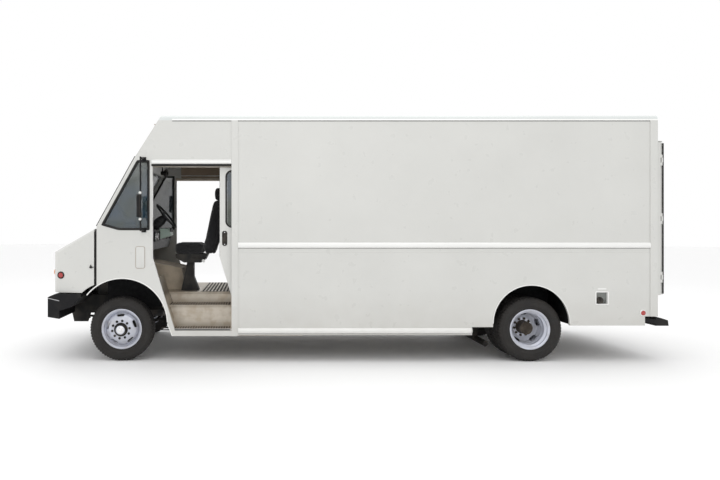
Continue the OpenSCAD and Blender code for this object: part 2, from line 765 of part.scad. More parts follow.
// Levels of the three hinges of each rear door
rear_hinge_z = [for (k = [0 : 2]) rear_low_z + 200 + k*(rear_top_z - rear_low_z - 460)/2];
hinge_s = rear_door_s + 22;
barrel_r = 12;
barrel_h = 60;
module rear_hinge_pins() {
    both_sides() for (z = rear_hinge_z) {
        translate([hinge_s, -rear_hinge_y, z - 41]) cylinder(r = 6, h = barrel_h + 82);
        for (end_z = [z - 41, z + barrel_h + 1])
            block([rear_door_s - 10, -rear_hinge_y - 8, end_z], [hinge_s, -rear_hinge_y + 8, end_z + 40]);
    }
}

module rear_window_outline() {
    round_rect([rear_door_half/2 - 250, rear_top_z - 900], [rear_door_half/2 + 250, rear_top_z - 300], 60);
}

// Rear leaf on the driver's side, with its hinge barrels
module rear_door_left() {
    color("gainsboro") from_front() difference() {
        union() {
            block([rear_door_s, -rear_door_half, rear_low_z + 2],
                  [rear_door_s + rear_door_t, -3, rear_top_z - 2]);
            for (z = rear_hinge_z) {
                translate([hinge_s, -rear_hinge_y, z]) cylinder(r = barrel_r, h = barrel_h);
                block([hinge_s - 5, -rear_hinge_y, z], [hinge_s + 5, -rear_door_half + 1, z + barrel_h]);
            }
        }
        for (z = rear_hinge_z)
            translate([hinge_s, -rear_hinge_y, z - 1]) cylinder(r = 6.5, h = barrel_h + 2);
        mirror([0, 1, 0]) along(rear_door_s - 1, rear_door_s + rear_door_t + 1) rear_window_outline();
    }
}
module rear_door_right() { mirror([0, 1, 0]) rear_door_left(); }
module rear_glass_left() {
    color([0.5, 0.6, 0.6, 0.5]) from_front() mirror([0, 1, 0])
        along(rear_door_s + 20, rear_door_s + 26) rear_window_outline();
}
module rear_glass_right() { mirror([0, 1, 0]) rear_glass_left(); }

// Sliding door in its open place, with a slanted lower front edge
open_s = door_s + door_travel;
module door_window_outline() {
    round_rect([open_s + 80, cowl_z - 15], [open_s + doorway_w - 110, door_top_z - 40], 80);
}
module sliding_door_left() {
    color("gainsboro") from_front() across(-door_y, -door_in_y) difference() {
        polygon([[open_s, door_top_z], [open_s, door_bend_z],
                 [open_s + (door_bend_z - door_bottom_z)*door_slant, door_bottom_z],
                 [open_s + door_len, door_bottom_z], [open_s + door_len, door_top_z]]);
        door_window_outline();
    }
}
module sliding_door_right() { mirror([0, 1, 0]) sliding_door_left(); }
module door_glass_left() {
    color([0.4, 0.5, 0.5, 0.5]) from_front()
        across(-door_y + door_t/2 - 3, -door_y + door_t/2 + 3) door_window_outline();
}
module door_glass_right() { mirror([0, 1, 0]) door_glass_left(); }

// Cover over the part of the engine that reaches into the cab
module engine_cover() {
    sheet = 10;
    back_s = door_s + 275;
    start_s = cowl_s + front_t;
    color("tan") from_front() difference() {
        across(-345, 345) polygon([[start_s, floor_z], [start_s, 1300], [start_s + 560, 1250],
                                   [back_s, 1172], [back_s + 50, floor_z]]);
        across(-345 + sheet, 345 - sheet)
            polygon([[start_s - 1, floor_z - 1], [start_s - 1, 1300 - sheet], [start_s + 560, 1250 - sheet],
                     [back_s - sheet, 1172 - sheet], [back_s + 50 - sheet, floor_z - 1]]);
    }
}

// Dash across the cab, with an instrument hood before the driver
driver_y = 380;
module dashboard() {
    start_s = cowl_s + front_t;
    end_y = inner_y - 90;
    color("dimgray") from_front() difference() {
        union() {
            across(-end_y, end_y)
                polygon([[start_s, 1440], [start_s, 1700], [start_s + 300, 1715], [start_s + 560, 1650],
                         [start_s + 600, 1590], [start_s + 560, 1440]]);
            across(-driver_y - 210, -driver_y + 210)
                polygon([[start_s + 300, 1640], [start_s + 320, 1770], [start_s + 520, 1790],
                         [start_s + 575, 1600]]);
        }
        across(-end_y + 20, end_y - 20)
            polygon([[start_s + 20, 1430], [start_s + 20, 1600], [start_s + 500, 1580],
                     [start_s + 520, 1430]]);
        steering_bore(44);
    }
}

// Steering wheel centre, and the lean of its column below the horizontal
wheel_s = 1425;
wheel_z = 1922;
column_lean = 40;
module on_column() {
    translate([wheel_s, -driver_y, wheel_z]) rotate([0, 90 - column_lean, 0]) children();
}
module steering_bore(r) {
    on_column() translate([0, 0, -900]) cylinder(r = r, h = 880);
}
module steering_column() {
    color("black") from_front() on_column() {
        translate([0, 0, -760]) cylinder(r = 38, h = 640);
        translate([0, 0, -150]) cylinder(r = 11, h = 120);
        translate([0, 0, -190]) rotate([90, 0, 0]) cylinder(r = 9, h = 190);
    }
}
module steering_wheel() {
    grip_circle_r = 206;
    grip_r = 15;
    color("black") from_front() on_column() {
        rotate_extrude($fn = 96) translate([grip_circle_r, 0]) circle(grip_r, $fn = 24);
        difference() {
            translate([0, 0, -70]) cylinder(r = 48, h = 60);
            translate([0, 0, -71]) cylinder(r = 11 + fit, h = 46);
        }
        for (a = [0, 120, 240])
            rotate(a) bar([40, 0, -35], [grip_circle_r, 0, 0], 11);
    }
}

module seat_pedestal() {
    pan_z = 1265;
    color("black") from_front() {
        across(-driver_y - 130, -driver_y + 25)
            polygon([[1650, floor_z], [1735, pan_z], [1828, pan_z], [1828, 1060], [1903, floor_z]]);
        across(-driver_y - 215, -driver_y + 215)
            polygon([[1700, pan_z], [1592, pan_z + 62], [1582, pan_z + 120], [2030, pan_z + 120],
                     [1985, pan_z + 30], [1940, pan_z]]);
    }
}

// Seat cushion: a plain pad with round edges
seat_w = 500;
module seat_cushion() {
    color("black") from_front() across(-driver_y - seat_w/2, -driver_y + seat_w/2)
        round_rect([1560, 1386], [1984, 1540], 50);
}

// Reclined backrest with its head restraint
module seat_backrest() {
    color("black") from_front() {
        across(-driver_y - seat_w/2 + 20, -driver_y + seat_w/2 - 20)
            polygon([[1990, 1550], [1990, 1420], [2020, 1386], [2120, 1386], [2175, 1540], [2265, 2120],
                     [2225, 2160], [2150, 2160], [2110, 2120]]);
        across(-driver_y - 130, -driver_y + 130)
            polygon([[2126, 2150], [2225, 2150], [2232, 2300], [2205, 2330], [2145, 2330],
                     [2118, 2290]]);
    }
}

// Door mirrors: a head on an upright rod, held by an arm at each end
mirror_rod_s = 1253;
mirror_rod_y = half_w + 235;
module mirror_head(turn, low_z) {
    head_h = 290;
    rim = 10;
    translate([mirror_rod_s, -mirror_rod_y, low_z]) rotate(turn) difference() {
        along(-42, -4) round_rect([-90, 0], [100, head_h], 30);
        block([-8, -90 + rim, rim], [0, 100 - rim, head_h - rim]);
    }
}
module mirrors() {
    rod_r = 11;
    plate_half = 30;
    low_z = 1712;
    high_z = glass_top_z - 8;
    driver_turn = 7;
    color("black") from_front() {
        both_sides() {
            translate([mirror_rod_s, -mirror_rod_y, low_z]) cylinder(r = rod_r, h = high_z - low_z);
            for (z = [low_z + rod_r, high_z - rod_r]) {
                bar([mirror_rod_s, -mirror_rod_y, z], [mirror_rod_s, -half_w, z], rod_r);
                block([mirror_rod_s - plate_half, -half_w - 12, z - plate_half],
                      [mirror_rod_s + plate_half, -half_w, z + plate_half]);
            }
        }
        mirror_head(driver_turn, 1884);
        mirror([0, 1, 0]) mirror_head(0, 2020);
    }
}

// One-piece nose that tilts forward on a hinge low at its front edge
hood_s = 39;
hood_end_s = cowl_s - 35;
hood_z = 903;
hood_front_z = 1462;
hood_rear_z = cowl_z - 40;
module hood_shell(t) {
    front_half = half_w - 70 - t;
    corner_r = 120 - t;
    crown_r = 40;
    hull() {
        for (side = [-1, 1]) {
            translate([hood_s + 120, side*(front_half - corner_r), hood_z - t])
                cylinder(r = corner_r, h = hood_front_z - hood_z - 30, $fn = 48);
            translate([hood_s + 120, side*(front_half - corner_r), hood_front_z - corner_r - t])
                sphere(corner_r, $fn = 40);
            translate([hood_end_s - 2, side*(half_w - 4 - t - 40), hood_rear_z - 40 - t])
                rotate([0, 90, 0]) cylinder(r = 40, h = 2 + t, $fn = 32);
            translate([hood_s + 130, side*500, hood_front_z + 115 - crown_r - t]) sphere(crown_r, $fn = 24);
            translate([hood_end_s - 2, side*560, hood_rear_z + 42 - crown_r - t])
                rotate([0, 90, 0]) cylinder(r = crown_r, h = 2 + t, $fn = 32);
        }
        translate([hood_end_s - 2, -half_w + 4 + t, hood_z - t]) cube([2 + t, 2*(half_w - 4 - t), 200]);
    }
}
module hood() {
    t = 14;
    color("gainsboro") from_front() {
        difference() {
            hood_shell(0);
            translate([0, 0, -t]) hood_shell(t);
            // Arch over the front wheel and opening for the grille
            across(-half_w - 1, half_w + 1) translate([cowl_s + 167, 505]) circle(543, $fn = 128);
            block([hood_s - 20, -360, 1010], [hood_s + 60, 360, 1330]);
            // Notches for the hinge plates
            both_sides() block([hood_s - 20, -hood_arm_y - 20, hood_z - 20],
                               [hood_s + 30, -hood_arm_y + hood_arm_t + 20, hood_hinge_z + 24]);
        }
        // Hinge arms inside the front edge
        both_sides() difference() {
            union() {
                block([hood_hinge_s - 16, -hood_arm_y, hood_hinge_z],
                      [hood_hinge_s + 16, -hood_arm_y + hood_arm_t, 1000]);
                translate([hood_hinge_s, -hood_arm_y + hood_arm_t, hood_hinge_z]) rotate([90, 0, 0])
                    cylinder(r = 16, h = hood_arm_t);
            }
            translate([hood_hinge_s, -hood_arm_y + hood_arm_t + 1, hood_hinge_z]) rotate([90, 0, 0])
                cylinder(r = hood_pin_r + fit, h = hood_arm_t + 2);
        }
    }
}

// Grille of flat bars in the nose, on a plate that closes its opening
module grille() {
    color("black") from_front() {
        block([hood_s + 8, -360, 1010], [hood_s + 20, 360, 1330]);
        for (z = [1030 : 50 : 1290])
            block([hood_s - 2, -350, z], [hood_s + 8, 350, z + 22]);
    }
}

module headlamps() {
    color("white") from_front() both_sides() {
        translate([hood_s - 12, -620, 1165]) rotate([0, 90, 0]) cylinder(r = 95, h = 12);
        translate([hood_s - 12, -845, 1165]) rotate([0, 90, 0]) cylinder(r = 60, h = 12);
    }
}

frame_rails();
cross_members();
engine_block();
driveline();
front_axle();
leaf_springs();
rear_axle();
fuel_tank();
exhaust();
radiator();
front_bumper();
rear_bumper();
cab_sides();
cab_front();
cab_glass();
front_wheelhouses();
floor_deck();
step_wells();
door_tracks();
body_sides();
rear_wheelhouses();
roof();
rear_frame();
engine_cover();
dashboard();
steering_column();
steering_wheel();
seat_pedestal();
seat_cushion();
seat_backrest();
mirrors();
hood();
grille();
headlamps();
sliding_door_left();
sliding_door_right();
door_glass_left();
door_glass_right();
rear_door_left();
rear_door_right();
rear_glass_left();
rear_glass_right();
knuckle_left();
knuckle_right();
tie_rod();
front_tyre_left();
front_tyre_right();
front_rim_left();
front_rim_right();
rear_tyres_left();
rear_tyres_right();
rear_rims_left();
rear_rims_right();
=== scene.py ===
"""Looks of the step van: materials, wheels, trim, cab fittings and seat, built around its CAD frame."""
import json
import math

import bmesh
import bpy
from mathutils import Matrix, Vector
from mathutils.bvhtree import BVHTree


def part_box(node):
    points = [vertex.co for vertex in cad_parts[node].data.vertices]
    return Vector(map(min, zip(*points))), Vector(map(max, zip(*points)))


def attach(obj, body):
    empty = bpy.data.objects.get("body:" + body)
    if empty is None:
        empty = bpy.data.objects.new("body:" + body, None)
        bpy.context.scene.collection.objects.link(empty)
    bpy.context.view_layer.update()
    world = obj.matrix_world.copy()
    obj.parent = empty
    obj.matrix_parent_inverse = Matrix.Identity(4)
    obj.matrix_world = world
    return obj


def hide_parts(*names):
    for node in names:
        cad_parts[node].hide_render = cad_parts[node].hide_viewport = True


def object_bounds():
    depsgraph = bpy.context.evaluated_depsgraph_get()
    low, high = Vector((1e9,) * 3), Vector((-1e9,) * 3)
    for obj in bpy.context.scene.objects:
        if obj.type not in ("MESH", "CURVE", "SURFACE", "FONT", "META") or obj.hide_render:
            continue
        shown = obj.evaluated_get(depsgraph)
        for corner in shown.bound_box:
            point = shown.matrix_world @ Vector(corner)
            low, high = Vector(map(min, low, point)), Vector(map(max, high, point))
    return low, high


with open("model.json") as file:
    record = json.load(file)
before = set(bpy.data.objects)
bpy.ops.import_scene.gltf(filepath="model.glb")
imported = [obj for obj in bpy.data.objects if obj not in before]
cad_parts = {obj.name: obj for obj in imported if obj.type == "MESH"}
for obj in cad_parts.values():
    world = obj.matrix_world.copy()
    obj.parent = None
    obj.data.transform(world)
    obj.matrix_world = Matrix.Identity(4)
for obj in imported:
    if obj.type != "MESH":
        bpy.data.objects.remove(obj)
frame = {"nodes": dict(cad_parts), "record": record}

CAD_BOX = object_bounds()
FRONT = CAD_BOX[0].x
HALF_W = -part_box("cab_sides")[0].y
SIDES = (("left", -1), ("right", 1))
# Places of fittings in metres: heights above the ground, and distances out from the middle
LOWER_TREAD_Z = 0.429
UPPER_TREAD_Z = 0.721
RISER_Y = 0.958
FLOOR_Z = 0.867
SILL_SEAL_Y, SILL_SEAL_Z = 1.176, 0.424
BELT_RAIL_Z, LOW_RAIL_Z = 1.526, 0.413
DASH_Z = 1.628
HEADLAMP_Z = 1.165
REAR_LAMP_Z = 0.742
BEAD_DEPTH = 0.172
AX = {"x": Vector((1, 0, 0)), "y": Vector((0, 1, 0)), "z": Vector((0, 0, 1))}


def at(station, y, z):
    """Point given in millimetres: the station runs rearward from the front bumper's face."""
    return Vector((FRONT + station / 1000, y / 1000, z / 1000))


# ---------------------------------------------------------------- mesh helpers

class Shape:
    """Vertices and faces of one piece, gathered before its mesh is made."""

    def __init__(self):
        self.verts = []
        self.faces = []

    def add(self, verts, faces):
        """Adds points, and faces that count from the first of them."""
        start = len(self.verts)
        self.verts += [Vector(v) for v in verts]
        self.faces += [tuple(start + i for i in f) for f in faces]

    def loft(self, rings, closed=False, caps=True, open_ring=False):
        """Skin over rings of points; closed joins the last ring to the first."""
        n = len(rings[0])
        verts = [p for ring in rings for p in ring]
        faces = []
        last = len(rings) if closed else len(rings) - 1
        for i in range(last):
            a, b = i * n, ((i + 1) % len(rings)) * n
            for j in range(n - 1 if open_ring else n):
                k = (j + 1) % n
                faces.append((a + j, a + k, b + k, b + j))
        if caps and not closed and not open_ring:
            faces.append(tuple(range(n))[::-1])
            faces.append(tuple((len(rings) - 1) * n + j for j in range(n)))
        self.add(verts, faces)

    def box(self, lo, hi):
        """Block between two corners."""
        lo, hi = Vector(lo), Vector(hi)
        low, high = [], []
        for x, y in ((lo.x, lo.y), (hi.x, lo.y), (hi.x, hi.y), (lo.x, hi.y)):
            low.append(Vector((x, y, lo.z)))
            high.append(Vector((x, y, hi.z)))
        self.loft([low, high])

    def rod(self, a, b, r, n=16, r_end=None):
        """Round bar from a to b, cone-shaped where r_end is given."""
        u, v = cross_axes(b - a)
        self.loft([circle(a, u, v, r, n), circle(b, u, v, r if r_end is None else r_end, n)])

    def lathe(self, profile, centre, axis, n=48):
        """Turns (radius, height along the axis) points round the axis, starting and ending anywhere."""
        u, v = cross_axes(axis)
        axis = axis.normalized()
        rings = []
        for k in range(n):
            a = 2 * math.pi * k / n
            out = u * math.cos(a) + v * math.sin(a)
            rings.append([centre + out * r + axis * h for r, h in profile])
        self.loft(rings, closed=True, open_ring=True)

    def tube(self, path, r, n=10, closed=False):
        """Round tube along a list of points, without twist."""
        rings = []
        u = cross_axes(path[1] - path[0])[0]
        count = len(path)
        for i, p in enumerate(path):
            before = path[i - 1] if i or closed else path[i]
            after = path[(i + 1) % count] if i < count - 1 or closed else path[i]
            t = (after - before).normalized()
            u = (u - t * u.dot(t)).normalized()
            rings.append(circle(p, u, t.cross(u), r, n))
        self.loft(rings, closed=closed)

    def prism(self, outline, push):
        """Outline of points pushed along a vector."""
        self.loft([[Vector(p) for p in outline], [Vector(p) + push for p in outline]])

    def frame(self, outline, normal, width, depth, sink=0.0, outward=0.0):
        """Flat band with rounded section round a closed outline: width inward, depth along the normal."""
        normal = normal.normalized()
        outer = grow(outline, normal, outward)
        chamfer = min(width, depth) * 0.3
        steps = ((0, -sink), (0, depth - chamfer), (chamfer, depth), (width - chamfer, depth),
                 (width, depth - chamfer), (width, -sink))
        rings = []
        for inward, height in steps:
            rings.append([p + normal * height for p in grow(outer, normal, -inward)])
        columns = [[ring[i] for ring in rings] for i in range(len(outer))]
        self.loft(columns, closed=True)

    def make(self, name, mat, body, slot=None, bevel=0.0, sharp=40, weld=0.0):
        """Makes the piece, which rides on its CAD body and wears the given material; the slot is not used."""
        mesh = bpy.data.meshes.new(name)
        mesh.from_pydata([tuple(v) for v in self.verts], [], self.faces)
        clean(mesh, weld)
        piece = bpy.data.objects.new(name, mesh)
        bpy.context.scene.collection.objects.link(piece)
        shade(piece, mat, sharp, bevel)
        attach(piece, body)
        return piece


def clean(mesh, weld):
    """Joins doubled points, drops flat faces and turns all faces outward."""
    bm = bmesh.new()
    bm.from_mesh(mesh)
    bmesh.ops.remove_doubles(bm, verts=bm.verts, dist=max(weld, 1e-6))
    bmesh.ops.dissolve_degenerate(bm, edges=bm.edges, dist=1e-7)
    bmesh.ops.recalc_face_normals(bm, faces=bm.faces)
    bm.to_mesh(mesh)
    bm.free()


def shade(piece, mat, sharp=40, bevel=0.0):
    """Gives a piece its material, smooth faces with sharp corners, and a small bevel if asked."""
    mesh = piece.data
    mesh.materials.clear()
    mesh.materials.append(mat)
    mesh.polygons.foreach_set("use_smooth", [True] * len(mesh.polygons))
    mesh.set_sharp_from_angle(angle=math.radians(sharp))
    if bevel:
        mod = piece.modifiers.new("edges", "BEVEL")
        mod.width = bevel
        mod.segments = 2
        mod.limit_method = "ANGLE"
        mod.angle_limit = math.radians(sharp)
        mod.harden_normals = False
    mesh.update()


def cross_axes(axis):
    """Two unit vectors square to an axis and to each other."""
    axis = axis.normalized()
    other = AX["z"] if abs(axis.z) < 0.9 else AX["x"]
    u = other.cross(axis).normalized()
    return u, axis.cross(u)


def circle(centre, u, v, r, n):
    """Points round a circle in the plane of u and v."""
    return [centre + (u * math.cos(2 * math.pi * k / n) + v * math.sin(2 * math.pi * k / n)) * r
            for k in range(n)]


def round_rect(centre, u, v, w, h, r, n=6):
    """Rectangle of width w along u and height h along v, with round corners of radius r."""
    points = []
    for sx, sy, start in ((1, 1, 0), (-1, 1, 90), (-1, -1, 180), (1, -1, 270)):
        for k in range(n + 1):
            a = math.radians(start + 90 * k / n)
            x = sx * (w / 2 - r) + r * math.cos(a)
            y = sy * (h / 2 - r) + r * math.sin(a)
            points.append(centre + u * x + v * y)
    return points


def grow(outline, normal, distance):
    """Moves a closed outline outward in its own plane by a distance, with mitred corners."""
    if distance == 0:
        return [p.copy() for p in outline]
    count = len(outline)
    area = sum((outline[i - 1].cross(p) for i, p in enumerate(outline)), Vector())
    if area.dot(normal) < 0:
        distance = -distance
    out = []
    for i, p in enumerate(outline):
        a = (p - outline[i - 1]).normalized().cross(normal)
        b = (outline[(i + 1) % count] - p).normalized().cross(normal)
        mid = (a + b).normalized()
        out.append(p + mid * (distance / max(0.35, mid.dot(a))))
    return out


def rounded(outline, r, n=6):
    """Replaces each corner of a closed outline by an arc of about radius r."""
    out = []
    count = len(outline)
    for i, p in enumerate(outline):
        a = outline[i - 1] - p
        b = outline[(i + 1) % count] - p
        cut = min(r, a.length * 0.45, b.length * 0.45)
        start, end = p + a.normalized() * cut, p + b.normalized() * cut
        for k in range(n + 1):
            t = k / n
            out.append(start * (1 - t) ** 2 + p * (2 * t * (1 - t)) + end * t * t)
    return out


def outlines(node, direction):
    """Closed outlines of a CAD node's flat faces that look in a direction."""
    mesh = frame["nodes"][node].data
    places = {}
    ends = {}
    for poly in mesh.polygons:
        if poly.normal.dot(direction) < 0.99:
            continue
        keys = []
        for i in poly.vertices:
            key = tuple(round(c, 5) for c in mesh.vertices[i].co)
            places[key] = Vector(mesh.vertices[i].co)
            keys.append(key)
        for a, b in zip(keys, keys[1:] + keys[:1]):
            if a in ends.get(b, ()):
                ends[b].remove(a)
            else:
                ends.setdefault(a, []).append(b)
    loops = []
    while any(ends.values()):
        start = next(k for k, v in ends.items() if v)
        loop, here = [], start
        while ends.get(here):
            loop.append(places[here])
            here = ends[here].pop()
            if here == start:
                break
        loops.append(straightened(loop))
    return loops


def straightened(loop):
    """Leaves out points that lie on a straight stretch."""
    count = len(loop)
    kept = []
    for i, p in enumerate(loop):
        a = p - loop[i - 1]
        b = loop[(i + 1) % count] - p
        if a.length > 1e-6 and b.length > 1e-6 and a.angle(b) > 0.01:
            kept.append(p)
    return kept


# ---------------------------------------------------------------- materials

class Look:
    """One node material: a Principled shader fed by textures in the CAD frame's metres."""

    def __init__(self, name, rough=0.5, metal=0.0, coat=0.0, sheen=0.0, alpha=1.0, specular=0.5):
        self.mat = bpy.data.materials.new(name)
        self.mat.use_nodes = True
        self.nodes = self.mat.node_tree.nodes
        self.links = self.mat.node_tree.links
        self.shader = self.nodes["Principled BSDF"]
        self.place = self.nodes.new("ShaderNodeTexCoord").outputs["Object"]
        self.normal = None
        values = {"Roughness": rough, "Metallic": metal, "Coat Weight": coat, "Coat Roughness": 0.06,
                  "Sheen Weight": sheen, "Alpha": alpha, "Specular IOR Level": specular}
        for socket, value in values.items():
            self.shader.inputs[socket].default_value = value

    def link(self, a, b):
        self.links.new(a, b)
        return self

    def stretched(self, scale):
        node = self.nodes.new("ShaderNodeMapping")
        node.inputs["Scale"].default_value = scale
        self.link(self.place, node.inputs["Vector"])
        return node.outputs["Vector"]

    def noise(self, scale, detail=3.0, stretch=None):
        """Soft random mottling."""
        node = self.nodes.new("ShaderNodeTexNoise")
        node.inputs["Scale"].default_value = scale
        node.inputs["Detail"].default_value = detail
        self.link(self.stretched(stretch) if stretch else self.place, node.inputs["Vector"])
        return node.outputs["Fac"]

    def cells(self, scale):
        """Distance to the nearest of scattered points."""
        node = self.nodes.new("ShaderNodeTexVoronoi")
        node.inputs["Scale"].default_value = scale
        self.link(self.place, node.inputs["Vector"])
        return node.outputs["Distance"]

    def bands(self, scale, direction, distortion=0.0):
        """Parallel waves along one axis."""
        node = self.nodes.new("ShaderNodeTexWave")
        node.bands_direction = direction
        node.inputs["Scale"].default_value = scale
        node.inputs["Distortion"].default_value = distortion
        self.link(self.place, node.inputs["Vector"])
        return node.outputs["Fac"]

    def level(self, axis, low, high):
        """0 to 1 as a coordinate goes from low to high."""
        split = self.nodes.new("ShaderNodeSeparateXYZ")
        self.link(self.place, split.inputs[0])
        return self.spread(split.outputs[axis], low, high, 0, 1)

    def spread(self, value, low, high, to_low, to_high):
        """Maps one range of a value onto another."""
        node = self.nodes.new("ShaderNodeMapRange")
        self.link(value, node.inputs["Value"])
        for socket, number in (("From Min", low), ("From Max", high), ("To Min", to_low),
                               ("To Max", to_high)):
            node.inputs[socket].default_value = number
        return node.outputs["Result"]

    def maths(self, operation, a, b):
        node = self.nodes.new("ShaderNodeMath")
        node.operation = operation
        for socket, value in zip(node.inputs, (a, b)):
            if isinstance(value, (int, float)):
                socket.default_value = value
            else:
                self.link(value, socket)
        return node.outputs[0]

    def mix(self, factor, a, b):
        """Blend of two colours, each a tuple or a socket."""
        node = self.nodes.new("ShaderNodeMix")
        node.data_type = "RGBA"
        for socket, value in ((node.inputs[0], factor), (node.inputs[6], a), (node.inputs[7], b)):
            if isinstance(value, (tuple, list)):
                socket.default_value = (*value, 1)
            elif isinstance(value, (int, float)):
                socket.default_value = value
            else:
                self.link(value, socket)
        return node.outputs[2]

    def color(self, value):
        return self.link(value, self.shader.inputs["Base Color"])

    def rough(self, value, low, high):
        return self.link(self.spread(value, 0.3, 0.7, low, high), self.shader.inputs["Roughness"])

    def bump(self, height, distance, strength=1.0):
        """Adds relief to any relief already there."""
        node = self.nodes.new("ShaderNodeBump")
        node.inputs["Distance"].default_value = distance
        node.inputs["Strength"].default_value = strength
        self.link(height, node.inputs["Height"])
        if self.normal:
            self.link(self.normal, node.inputs["Normal"])
        self.normal = node.outputs["Normal"]
        return self.link(self.normal, self.shader.inputs["Normal"])


def tone(color, factor):
    """Colour made lighter or darker by a factor."""
    return tuple(min(1.0, c * factor) for c in color)


DUST = (0.30, 0.26, 0.21)


def paint(name, color, coat=0.5, dirt=0.35, gloss=(0.26, 0.40)):
    """Gloss vehicle paint: faint mottling, orange peel, sheet-metal waviness and road dust low down."""
    look = Look(name, coat=coat)
    mottle = look.spread(look.noise(1.3, 4), 0.3, 0.7, 0, 1)
    base = look.mix(mottle, color, tone(color, 0.955))
    low_down = look.level("Z", 0.95, 0.33)
    dusty = look.maths("MULTIPLY", look.maths("MULTIPLY", low_down, look.noise(5, 6)), dirt)
    look.color(look.mix(dusty, base, DUST))
    look.rough(look.noise(9, 5), *gloss)
    look.bump(look.noise(1.6, 1), 0.006, 0.25)
    return look.bump(look.noise(420, 2), 0.0002, 0.3).mat


def coated(name, color, rough=(0.32, 0.5), dust=0.25, grain=0.0006, metal=0.0, scale=160):
    """Satin coating over metal or plastic with a fine grain and a film of dust."""
    look = Look(name, metal=metal, specular=0.22)
    film = look.maths("MULTIPLY", look.spread(look.noise(7, 6), 0.42, 0.72, 0, 1), dust)
    base = look.mix(look.noise(60, 3), tone(color, 0.8), tone(color, 1.2))
    look.color(look.mix(film, base, DUST))
    look.rough(look.noise(14, 4), *rough)
    return look.bump(look.noise(scale, 4), grain, 0.5).mat


def rubber(name, color=(0.012, 0.011, 0.0105)):
    """Tyre rubber: brown-grey bloom and dust in patches, with a fine moulded grain."""
    look = Look(name, specular=0.35)
    bloom = look.spread(look.noise(6, 6), 0.35, 0.75, 0.0, 0.4)
    look.color(look.mix(bloom, look.mix(look.noise(90, 3), color, tone(color, 1.5)), (0.040, 0.035, 0.030)))
    look.rough(look.noise(12, 4), 0.55, 0.8)
    return look.bump(look.noise(500, 3), 0.0004, 0.5).mat


def plastic(name, color, rough=(0.45, 0.6), scale=700):
    """Moulded plastic with a leather-like grain."""
    look = Look(name, specular=0.25)
    look.color(look.mix(look.noise(3, 4), tone(color, 0.85), tone(color, 1.15)))
    look.rough(look.noise(20, 3), *rough)
    return look.bump(look.cells(scale), 0.0005, 0.45).mat


def sheet_metal(name, color, brushed=(2, 260, 260), wear=0.5, metal=0.85):
    """Bare aluminium, brushed along the vehicle, with scuffs and a film of tan dirt."""
    look = Look(name, metal=metal)
    lines = look.noise(1.0, 4, brushed)
    scuff = look.spread(look.noise(11, 8), 0.45, 0.65, 0, wear)
    bright = look.mix(lines, tone(color, 0.82), tone(color, 1.12))
    look.color(look.mix(scuff, bright, (0.36, 0.29, 0.21)))
    look.rough(look.noise(8, 6), 0.3, 0.55)
    return look.bump(lines, 0.0003, 0.5).mat


def woven(name, color):
    """Seat cloth: crossed ribs of yarn, a soft sheen and slight wear in patches."""
    look = Look(name, rough=0.9, sheen=0.35, specular=0.25)
    yarn = look.maths("MULTIPLY", look.bands(230, "X"), look.bands(230, "DIAGONAL"))
    shade_of = look.mix(yarn, tone(color, 0.6), tone(color, 1.6))
    look.color(look.mix(look.spread(look.noise(4, 5), 0.4, 0.7, 0, 0.5), shade_of, tone(color, 2.2)))
    look.bump(yarn, 0.0009, 0.7)
    return look.bump(look.noise(25, 3), 0.002, 0.3).mat


def glazing(name, tint, alpha):
    """Thin tinted glass with faint dust and rain marks, and a painted reflection: its tint is mottled between
    olive and blue patches.
    """
    look = Look(name, rough=0.02, alpha=alpha, specular=1.0, coat=1.0)
    marks = look.spread(look.noise(3, 6), 0.4, 0.8, 0, 0.25)
    # Painted reflection: noise mottles the tint between olive and blue patches that stand for surroundings
    # mirrored in the glass.
    shift = look.spread(look.noise(2.2, 4), 0.38, 0.62, 0, 1)
    painted_reflection_tint = look.mix(shift, (tint[0] * 1.6, tint[1] * 1.5, tint[2] * 0.6),
                    (tint[0] * 1.4, tint[1] * 1.9, tint[2] * 3.2))
    look.color(look.mix(marks, painted_reflection_tint, tone(tint, 1.5)))
    return look.mat


def lens(name, color, glow=0.0):
    """Moulded lamp lens: flutes under a gloss face."""
    look = Look(name, rough=0.12, coat=1.0)
    flutes = look.bands(55, "Z")
    look.color(look.mix(flutes, tone(color, 0.75), tone(color, 1.25)))
    look.shader.inputs["Emission Color"].default_value = (*color, 1)
    look.shader.inputs["Emission Strength"].default_value = glow
    return look.bump(flutes, 0.0012, 0.5).mat


def polished(name, color, rough=0.08, metal=1.0):
    """Plated or mirror-polished metal with fine wiping marks."""
    look = Look(name, rough=rough, metal=metal)
    marks = look.noise(30, 6)
    look.color(look.mix(marks, tone(color, 0.95), tone(color, 1.03)))
    look.rough(marks, rough * 0.7, rough * 1.6)
    return look.mat


def silver_wheel(name, color):
    """Silver wheel enamel with brake dust in the corners and a fine metallic grain."""
    look = Look(name, metal=0.35, coat=0.3)
    dust = look.spread(look.noise(9, 7), 0.45, 0.8, 0, 0.45)
    fleck = look.mix(look.noise(900, 2), tone(color, 0.93), tone(color, 1.07))
    look.color(look.mix(dust, fleck, (0.33, 0.29, 0.26)))
    look.rough(look.noise(16, 5), 0.3, 0.5)
    return look.bump(look.noise(70, 3), 0.0004, 0.3).mat


def padding(name, color):
    """Quilted insulation over the engine cover: soft creases and stains."""
    look = Look(name, rough=0.85, sheen=0.2, specular=0.3)
    stains = look.spread(look.noise(6, 7), 0.4, 0.7, 0, 0.7)
    look.color(look.mix(stains, color, tone(color, 0.55)))
    look.bump(look.noise(14, 5), 0.02, 0.5)
    return look.bump(look.noise(130, 4), 0.002, 0.5).mat


def ground(name):
    """Pale matt floor."""
    look = Look(name, rough=0.7, specular=0.2)
    look.color(look.mix(look.noise(0.6, 2), (0.95, 0.95, 0.95), (0.96, 0.96, 0.96)))
    return look.mat


